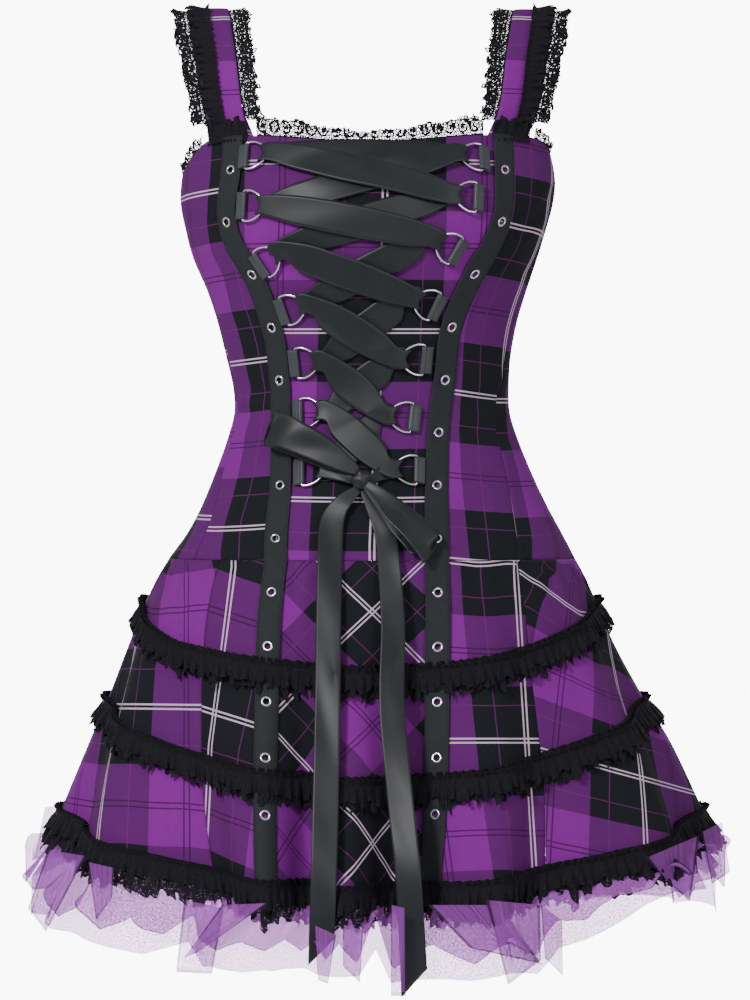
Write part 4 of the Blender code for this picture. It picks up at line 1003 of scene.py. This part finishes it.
def free_grid(route, steps, ripple, seed, slant=0.0):
    spots = [front_frame(x, height, off) for x, height, off, _, _ in route]
    stations = []
    for k, (spot, out) in enumerate(spots):
        before, after = spots[max(k - 1, 0)][0], spots[min(k + 1, len(spots) - 1)][0]
        path = (after - before).normalized()
        across = path.cross(out).normalized()
        turn = math.radians(route[k][4])
        across = across * math.cos(turn) + across.cross(path).normalized() * math.sin(turn)
        half = route[k][3]
        stations.append([spot - across * half, spot, spot + across * half])
    stations[-1][0].z += slant
    stations[-1][2].z -= slant
    return ribbon_grid(stations, steps, 12, ripple, seed)


def build_bow():
    for number, (name, route) in enumerate(BOW.items()):
        grid = free_grid(route, 6, 1.4, 1.1 + number)
        loop = ribbon_piece(name, grid)
        rest(loop, "satin", name)
    for number, (name, route) in enumerate(TAILS.items()):
        grid = free_grid(route, 10, 0.9, 2.3 * number, 12.0)
        tail = ribbon_piece(name, grid)
        rest(tail, "satin", name)


# Lace
RUFFLES = {
    # material, length of a gather, swing, rows, head over the seam, step along the seam, curl
    "row": (row_net, 12.5, 7.5, 9, 8.0, 1.5, 0.16),
    "row upper": (row_net, 10.0, 6.5, 7, 5.0, 1.5, 0.22),
    "hem": (hem_net, 14.0, 8.0, 10, 7.0, 1.5, 0.08),
    "hem upper": (row_net, 10.5, 6.5, 7, 6.0, 1.5, 0.2),
    "strap edge": (strap_net, 12.0, 5.0, 9, 0.0, 1.4, 0.05),
    "strap foot": (row_net, 8.0, 4.5, 7, 4.0, 1.2, 0.25),
    "strap over": (row_net, 9.0, 4.5, 7, 4.0, 1.3, 0.2),
    "top edge": (neck_net, 12.0, 4.0, 8, 0.0, 1.4, 0.05),
}


def ruffle(name, base, kind, seed, closed=False, has_solid=True):
    """Gathered lace: base gives point, direction, outward direction and depth for each station."""
    material, long_wave, swing, rows, head, step, curl = RUFFLES[kind]
    points = [station[0] for station in base]
    if closed:
        points = points + [points[0]]
    sums = lengths(points)
    total = sums[-1]
    count = max(8, round(total / step))
    turns = max(2, round(total / long_wave))
    grid, uvs = [], []
    shares = [-1 + k / 3 for k in range(3)] if head else []
    shares += [k / rows for k in range(rows + 1)]
    columns = count if closed else count + 1
    stations = []
    k = 0
    for c in range(columns):
        s = total * c / count
        while k < len(sums) - 2 and sums[k + 1] < s:
            k += 1
        t = (s - sums[k]) / max(sums[k + 1] - sums[k], 1e-6)
        low, high = base[k % len(base)], base[(k + 1) % len(base)]
        place = [low[n].lerp(high[n], t) for n in range(3)] + [low[3] + (high[3] - low[3]) * t]
        side = (points[k + 1] - points[k]).normalized()
        phase = 2 * math.pi * turns * s / total
        phase += 1.1 * math.sin(2 * math.pi * round(turns / 3.7) * s / total + seed)
        size = 0.64 + 0.36 * math.sin(2 * math.pi * round(turns / 2.3) * s / total + 2 * seed)
        stations.append((place, side, phase, size, s))
    for r in shares:
        row, uv = [], []
        for (spot, way, out, depth), side, phase, size, s in stations:
            if r < 0:
                reach = -r
                wave = math.sin(phase * 1.5 + seed)
                lift = 0.5 + swing * 0.45 * reach * (1 + wave)
                row.append(spot - way * head * reach * (0.9 + 0.15 * wave) + out * lift)
                uv.append((s * 1.6, head * (1 - reach)))
                continue
            lift = swing * size * (r ** 0.75) * (1 + math.sin(phase)) / 2
            ripple = 0.16 * swing * r * math.sin(phase * 2.7 + 5 * r + seed)
            slide = -0.32 * long_wave * r ** 0.9 * math.sin(2 * phase) * 0.5
            reach = depth * (r - curl * r * r * (0.5 + 0.5 * math.sin(phase * 0.5 + seed)))
            slow, quick = math.sin(phase * 0.31 + seed * 3), math.sin(phase * 1.9 + seed)
            reach *= 1 + 0.09 * r * slow + 0.07 * r * quick
            row.append(spot + way * reach + out * (lift + ripple) + side * slide)
            uv.append((s * 1.6, head + depth * r))
        grid.append(row)
        uvs.append(uv)
    piece = grid_piece(name, grid, uvs, material, 0.0, closed)
    rest(piece, "lace", *([name] if has_solid else []))


def skirt_base(above, off, down, first, last, count):
    """Stations along the skirt at a distance above the hem."""
    base = []
    for k in range(count):
        place = first + (last - first) * k / count
        hem = flute(place)[1]
        share = hem_share(place, blend(above, hem) if isinstance(above, tuple) else above)
        spot = skirt(place, share, off)
        low = skirt(place, share + down / (WAIST - hem_height(hem)), off)
        base.append((spot, (low - spot).normalized(), skirt_away(place, share), (low - spot).length))
    return base


def build_skirt_lace():
    """Each row and the hem lace have a deep ruffle and a shorter one over it."""
    for name, above, seed in (("lace_row_1", ROW_1, 0.4), ("lace_row_2", ROW_2, 1.9)):
        ruffle(name, skirt_base(above, 2.6, 29.0, 0, 24, 700), "row", seed, True)
        base = skirt_base(above, 5.0, 19.0, 0, 24, 700)
        ruffle(name + "_upper", base, "row upper", seed + 2.6, True, False)
    for name, first, last, seed in (("hem_lace_front", 6, 18, 0.9), ("hem_lace_back", 18, 30, 2.2)):
        base = []
        for k in range(361):
            place = (first + (last - first) * k / 360) % 24
            share = hem_share(place, 9.0)
            spot = skirt(place, share, 2.4)
            way = (skirt(place, 1.0) - skirt(place, 0.96)).normalized()
            base.append((spot, way, skirt_away(place, 1.0), 36.0))
        ruffle(name, base, "hem", seed)
        base = [(spot + out * 2.5, way, out, 20.0) for spot, way, out, _ in base]
        ruffle(name + "_upper", base, "hem upper", seed + 2.6, False, False)


def frill_height(angle, left, right):
    """Height of the frill's lower edge, from the photo's line at the front and its mirror behind."""
    x = math.sin(math.radians(angle))
    x = x * (right if x > 0 else left)
    depth = 3200 - 285 * abs(math.cos(math.radians(angle)))
    px = 375 + (x - 3.8) * 3200 / depth / 0.95
    if math.cos(math.radians(angle)) < 0:
        px = 750 - px
    py = straight(FRILL, px)
    return -467.4 - (py - 500) * 0.95 * depth / 3200


def build_tulle():
    plan = [
        # name, inside the skirt, left, right, depth, material, waves, wave size, rise of its edge, notch
        ("tulle_outer", 3.6, 331, 340, 288, lilac, 34, 10.0, 26.0, 20.0),
        ("tulle_inner", 6.4, 322, 330, 276, pale_lilac, 21, 8.0, 2.0, 0.0),
    ]
    count, rows = 1400, 16
    for name, inside, left, right, deep, material, waves, size, rise, notch in plan:
        grid, uvs = [], []
        columns = []
        for k in range(count):
            place = 24.0 * k / count
            _, angle, crest = flute(place)
            top = skirt(place, hem_share(place, 20.0), -inside)
            away = skirt_away(place, 1.0)
            mid = skirt(place, 1.0, -inside)
            mid = mid + (mid - top)
            phase = 2 * math.pi * waves * k / count
            phase += 0.9 * math.sin(2 * math.pi * 7 * k / count + inside)
            swell = 0.7 + 0.3 * math.sin(2 * math.pi * 5 * k / count + inside)
            low_height = frill_height(angle, left, right) + rise
            point = abs((phase / (2 * math.pi)) % 1 - 0.5) * 2
            low_height += notch * (point - 0.6) * swell
            low, _ = section(angle, (left, right, deep, deep), low_height, crest * 0.5)
            columns.append((top, mid, low, away, phase, size * swell))
        for i in range(rows + 1):
            r = i / rows
            row, uv = [], []
            for k, (top, mid, low, away, phase, wave) in enumerate(columns):
                spot = top * (1 - r) ** 2 + mid * (2 * r * (1 - r)) + low * r * r
                sharp = math.sin(phase) + 0.35 * math.sin(2 * phase + 0.6)
                row.append(spot + away * wave * (r ** 1.3) * (sharp - 1.2) * 0.75)
                uv.append((1.25 * k, (low - mid).length * 1.6 * (1 - r)))
            grid.append(row)
            uvs.append(uv)
        tulle = grid_piece(name, grid, uvs, material, 0.0, True)
        rest(tulle, "tulle", name)


# Folded points of the outer tulle, as four picture corners from the upper left round
POINTS = [
    ((48, 850), (86, 856), (46, 932), (28, 908)), ((88, 862), (114, 868), (112, 898), (96, 920)),
    ((184, 900), (224, 908), (212, 974), (176, 972)), ((222, 905), (268, 903), (198, 952), (184, 958)),
    ((314, 925), (336, 935), (328, 984), (318, 980)), ((343, 925), (363, 930), (360, 983), (343, 966)),
    ((391, 905), (405, 908), (406, 996), (391, 996)), ((428, 905), (500, 905), (541, 964), (470, 948)),
    ((486, 900), (540, 905), (541, 960), (508, 985)), ((541, 905), (562, 920), (563, 976), (545, 958)),
    ((646, 858), (700, 835), (690, 902), (666, 880)), ((702, 832), (722, 822), (730, 872), (712, 884)),
]


def frill_spot(px, py, out):
    """A point over the frill that shows at a place in the picture."""
    y = -250.0
    for _ in range(8):
        x = 3.8 + (px - 375) * 0.95 * (3200 + y) / 3200
        turn = math.asin(max(-0.995, min(0.995, x / (340 if x > 0 else 331))))
        y = -286 * math.cos(turn) - out
    return Vector((x, y, -467.4 - (py - 500) * 0.95 * (3200 + y) / 3200))


def build_points():
    """The folded points in front and, in the second half of the loop, their mirror behind."""
    points, faces, uvs, area = [], [], [], 0.0
    for number, (a, b, c, d) in enumerate(POINTS + POINTS):
        grid = []
        for i in range(15):
            r = i / 14
            row = []
            for j in range(13):
                t = j / 12
                px = (a[0] * (1 - t) + b[0] * t) * (1 - r) + (d[0] * (1 - t) + c[0] * t) * r
                py = (a[1] * (1 - t) + b[1] * t) * (1 - r) + (d[1] * (1 - t) + c[1] * t) * r
                bend = 3.0 * math.sin(math.pi * t + number) + 1.2 * math.sin(7 * t + 4 * r + number)
                spot = frill_spot(px, py, 0.5 - 7 * (1 - r) + bend * (0.3 + r))
                if number >= len(POINTS):
                    spot = Vector((-spot.x * (331 / 340 if spot.x > 0 else 340 / 331), -spot.y, spot.z))
                row.append(spot)
                uvs.append((number * 90 + t * 40, min(t, 1 - t, 1.3 * (1 - r)) * 26))
            grid.append(row)
        faces += grid_faces(15, 13, False, len(points))
        points += [p for row in grid for p in row]
        area += area_of(grid)
    folds = mesh_piece("tulle_points", points, faces, uvs, folded_lilac)
    rest(folds, "tulle")


# Straps and the lace at the top edge
STRAP = [
    # x, y, height, turn of its width in degrees
    (139, -42, -95, 24), (145, -32, -55, 14), (150.5, -20, -22, 7), (153.5, -7, -5, 2),
    (155, 9, -1, 0), (154, 25, -11, -4), (150, 43, -42, -12), (144, 56, -82, -20),
]


def compass(angle_wanted, sign):
    """Body angle at which the top edge lies in a compass direction."""
    low, high = 0.0, 180.0
    for _ in range(30):
        middle = (low + high) / 2
        spot = bodice(sign * middle, smooth(TOP_EDGE, sign * middle, 1))
        if math.degrees(math.atan2(abs(spot.x), -spot.y)) < angle_wanted:
            low = middle
        else:
            high = middle
    return sign * (low + high) / 2


def edge_point(wanted, sign):
    angle = compass(wanted, sign)
    height = smooth(TOP_EDGE, angle, 1)
    spot, away = section(angle, body_sizes(height), height, 0)
    return spot, away


def build_strap(side):
    sign = 1 if side == "R" else -1
    rows = []
    for foot, lift in (((60.0, 74.6), 0.6), ((121.4, 106.3), 0.6)):
        compasses = (foot[0], sum(foot) / 2, foot[1])
        rows.append([edge_point(a, sign)[0] + Vector((0, 0, lift)) for a in compasses])
    stations = [rows[0]]
    for x, y, height, turn in STRAP:
        across = Vector((sign * math.cos(math.radians(turn)), math.sin(math.radians(turn)), 0))
        centre = Vector((sign * x, y, height))
        stations.append([centre - across * 19, centre, centre + across * 19])
    stations.append(rows[1])
    lines = [catmull([station[j] for station in stations], 12) for j in range(3)]
    grid, normals = [], []
    middle = Vector((sign * 140, 8, -90))
    for k in range(len(lines[0])):
        a, b, c = (line[k] for line in lines)
        path = lines[1][min(k + 1, len(lines[1]) - 1)] - lines[1][max(k - 1, 0)]
        out = path.cross(c - a).normalized()
        if out.dot(b - middle) < 0:
            out = -out
        row = []
        for j in range(13):
            t = j / 12
            spot = across_three(a, b, c, t)
            edge_dip = math.exp(-(min(j, 12 - j)) ** 2)
            row.append(spot + out * (0.5 * math.sin(0.35 * k + 4 * t) - 0.5 * edge_dip))
        grid.append(row)
        normals.append(out)
    sums = lengths(lines[1])
    uvs = [[(0.30 + (6.9 - j) * 38 / 12 / 192, s / 157 + 0.207) for j in range(13)] for s in sums]
    name = "strap_" + side
    strap = grid_piece(name, grid, uvs, plaid, 0.9)
    rest(strap, "plaid", name)
    last = len(grid) - 1
    for kind, edge, reach in (("inner", 0, 20.0), ("outer", 12, 16.0)):
        base = []
        for k in range(7, last - 6):
            across = (grid[k][edge] - grid[k][6]).normalized()
            base.append((grid[k][edge] + normals[k] * -0.6, across, normals[k], reach))
        title = f"strap_lace_{kind}_{side}"
        ruffle(title, base, "strap edge", 0.7 + edge)
    base = []
    for k in range(2, last - 1):
        across = (grid[k][12] - grid[k][6]).normalized()
        base.append((grid[k][7] + normals[k] * 1.8, across, normals[k], 18.0))
    foot = [(row_spot + normals[1] * 2.2 + Vector((0, 0, -3)), Vector((0, 0, 1)), normals[1], 19.0)
            for row_spot in grid[0]]
    ruffle("strap_foot_lace_" + side, foot, "strap foot", 1.3, False, False)
    ruffle("strap_lace_over_" + side, base, "strap over", 2.1)


NECK = [
    # angle, how high the lace stands over the edge
    (-57, 22), (-35, 15), (0, 11), (35, 15), (57, 22),
]


def build_edge_lace():
    plan = [
        ("neck_lace_front", -57.0, 57.0, lambda angle: smooth(NECK, angle, 1)),
        ("neck_lace_back", 124.5, 235.5, lambda angle: 11.0),
        ("armhole_lace_L", -103.5, -77.0, lambda angle: 12.0),
        ("armhole_lace_R", 77.0, 103.5, lambda angle: 12.0),
    ]
    for number, (name, first, last, rise) in enumerate(plan):
        base = []
        for k in range(81):
            angle = first + (last - first) * k / 80
            turned = (angle + 180) % 360 - 180
            spot, away = edge_point(abs(turned), 1 if turned >= 0 else -1)
            base.append((spot - away * 0.4, Vector((0, 0, 1)), away, rise(turned)))
        ruffle(name, base, "top edge", 0.3 + number)


# Stage, in metres
def stage_piece(name, corners, material):
    mesh = bpy.data.meshes.new(name)
    mesh.from_pydata(corners, [], [(0, 1, 2, 3)])
    mesh.materials.append(material)
    thing = bpy.data.objects.new(name, mesh)
    bpy.context.scene.collection.objects.link(thing)


def build_stage():
    paper = Shader("white paper")
    tone = paper.noise(paper.node("ShaderNodeTexCoord").outputs["Object"], 0.5, 1.0)
    paper.set(Base_Color=paper.mix(tone, (0.9, 0.9, 0.9, 1), (0.95, 0.95, 0.95, 1)))
    paper.main.inputs["Emission Color"].default_value = (1, 1, 1, 1)
    paper.main.inputs["Emission Strength"].default_value = 9.0
    wall = [(-0.95, 2.6, -1.75), (0.95, 2.6, -1.75), (0.95, 2.6, 0.75), (-0.95, 2.6, 0.75)]
    stage_piece("backdrop", wall, paper.material)
    s = Shader("pale floor")
    grain = s.noise(s.node("ShaderNodeTexCoord").outputs["Object"], 3.0, 2.0)
    s.set(Base_Color=s.mix(grain, (0.86, 0.86, 0.86, 1), (0.92, 0.92, 0.92, 1)), Roughness=0.9)
    ground = [(-1.6, -1.6, -1.4), (1.6, -1.6, -1.4), (1.6, 1.6, -1.4), (-1.6, 1.6, -1.4)]
    stage_piece("floor", ground, s.material)
    world = bpy.data.worlds.new("studio")
    world.use_nodes = True
    world.node_tree.nodes["Background"].inputs[0].default_value = (1, 1, 1, 1)
    world.node_tree.nodes["Background"].inputs[1].default_value = 0.40
    bpy.context.scene.world = world
    lamps = (("key", (-1.7, -2.6, 1.2), 74, 0.6), ("fill", (1.7, -2.7, 0.3), 20, 1.2))
    for name, spot, power, size in lamps:
        lamp = bpy.data.lights.new(name, "AREA")
        lamp.energy = power
        lamp.size = size
        light = bpy.data.objects.new(name, lamp)
        light.location = spot
        light.rotation_euler = (Vector((0, 0, -0.45)) - Vector(spot)).to_track_quat("-Z", "Y").to_euler()
        bpy.context.scene.collection.objects.link(light)
    lens = bpy.data.cameras.new("camera")
    lens.sensor_fit = "VERTICAL"
    lens.sensor_height = 36
    lens.lens = 36 * 3.2 / 0.95
    camera = bpy.data.objects.new("camera", lens)
    camera.location = (0.0038, -3.2, -0.4674)
    camera.rotation_euler = (math.pi / 2, 0, 0)
    bpy.context.scene.collection.objects.link(camera)
    bpy.context.scene.camera = camera


build_bodice()
build_skirt()
ring_frames = {side: [ring_frame(side, k) for k in range(7)] for side in ("L", "R")}
for side in ("L", "R"):
    build_band(side)
    for k, here in enumerate(ring_frames[side]):
        build_ring(f"d_ring_{side}{k + 1}", here)
    build_tape(side, ring_frames[side])
    build_strap(side)
build_lacing(ring_frames)
build_knot()
build_bow()
build_skirt_lace()
build_tulle()
build_points()
build_edge_lace()
build_stage()
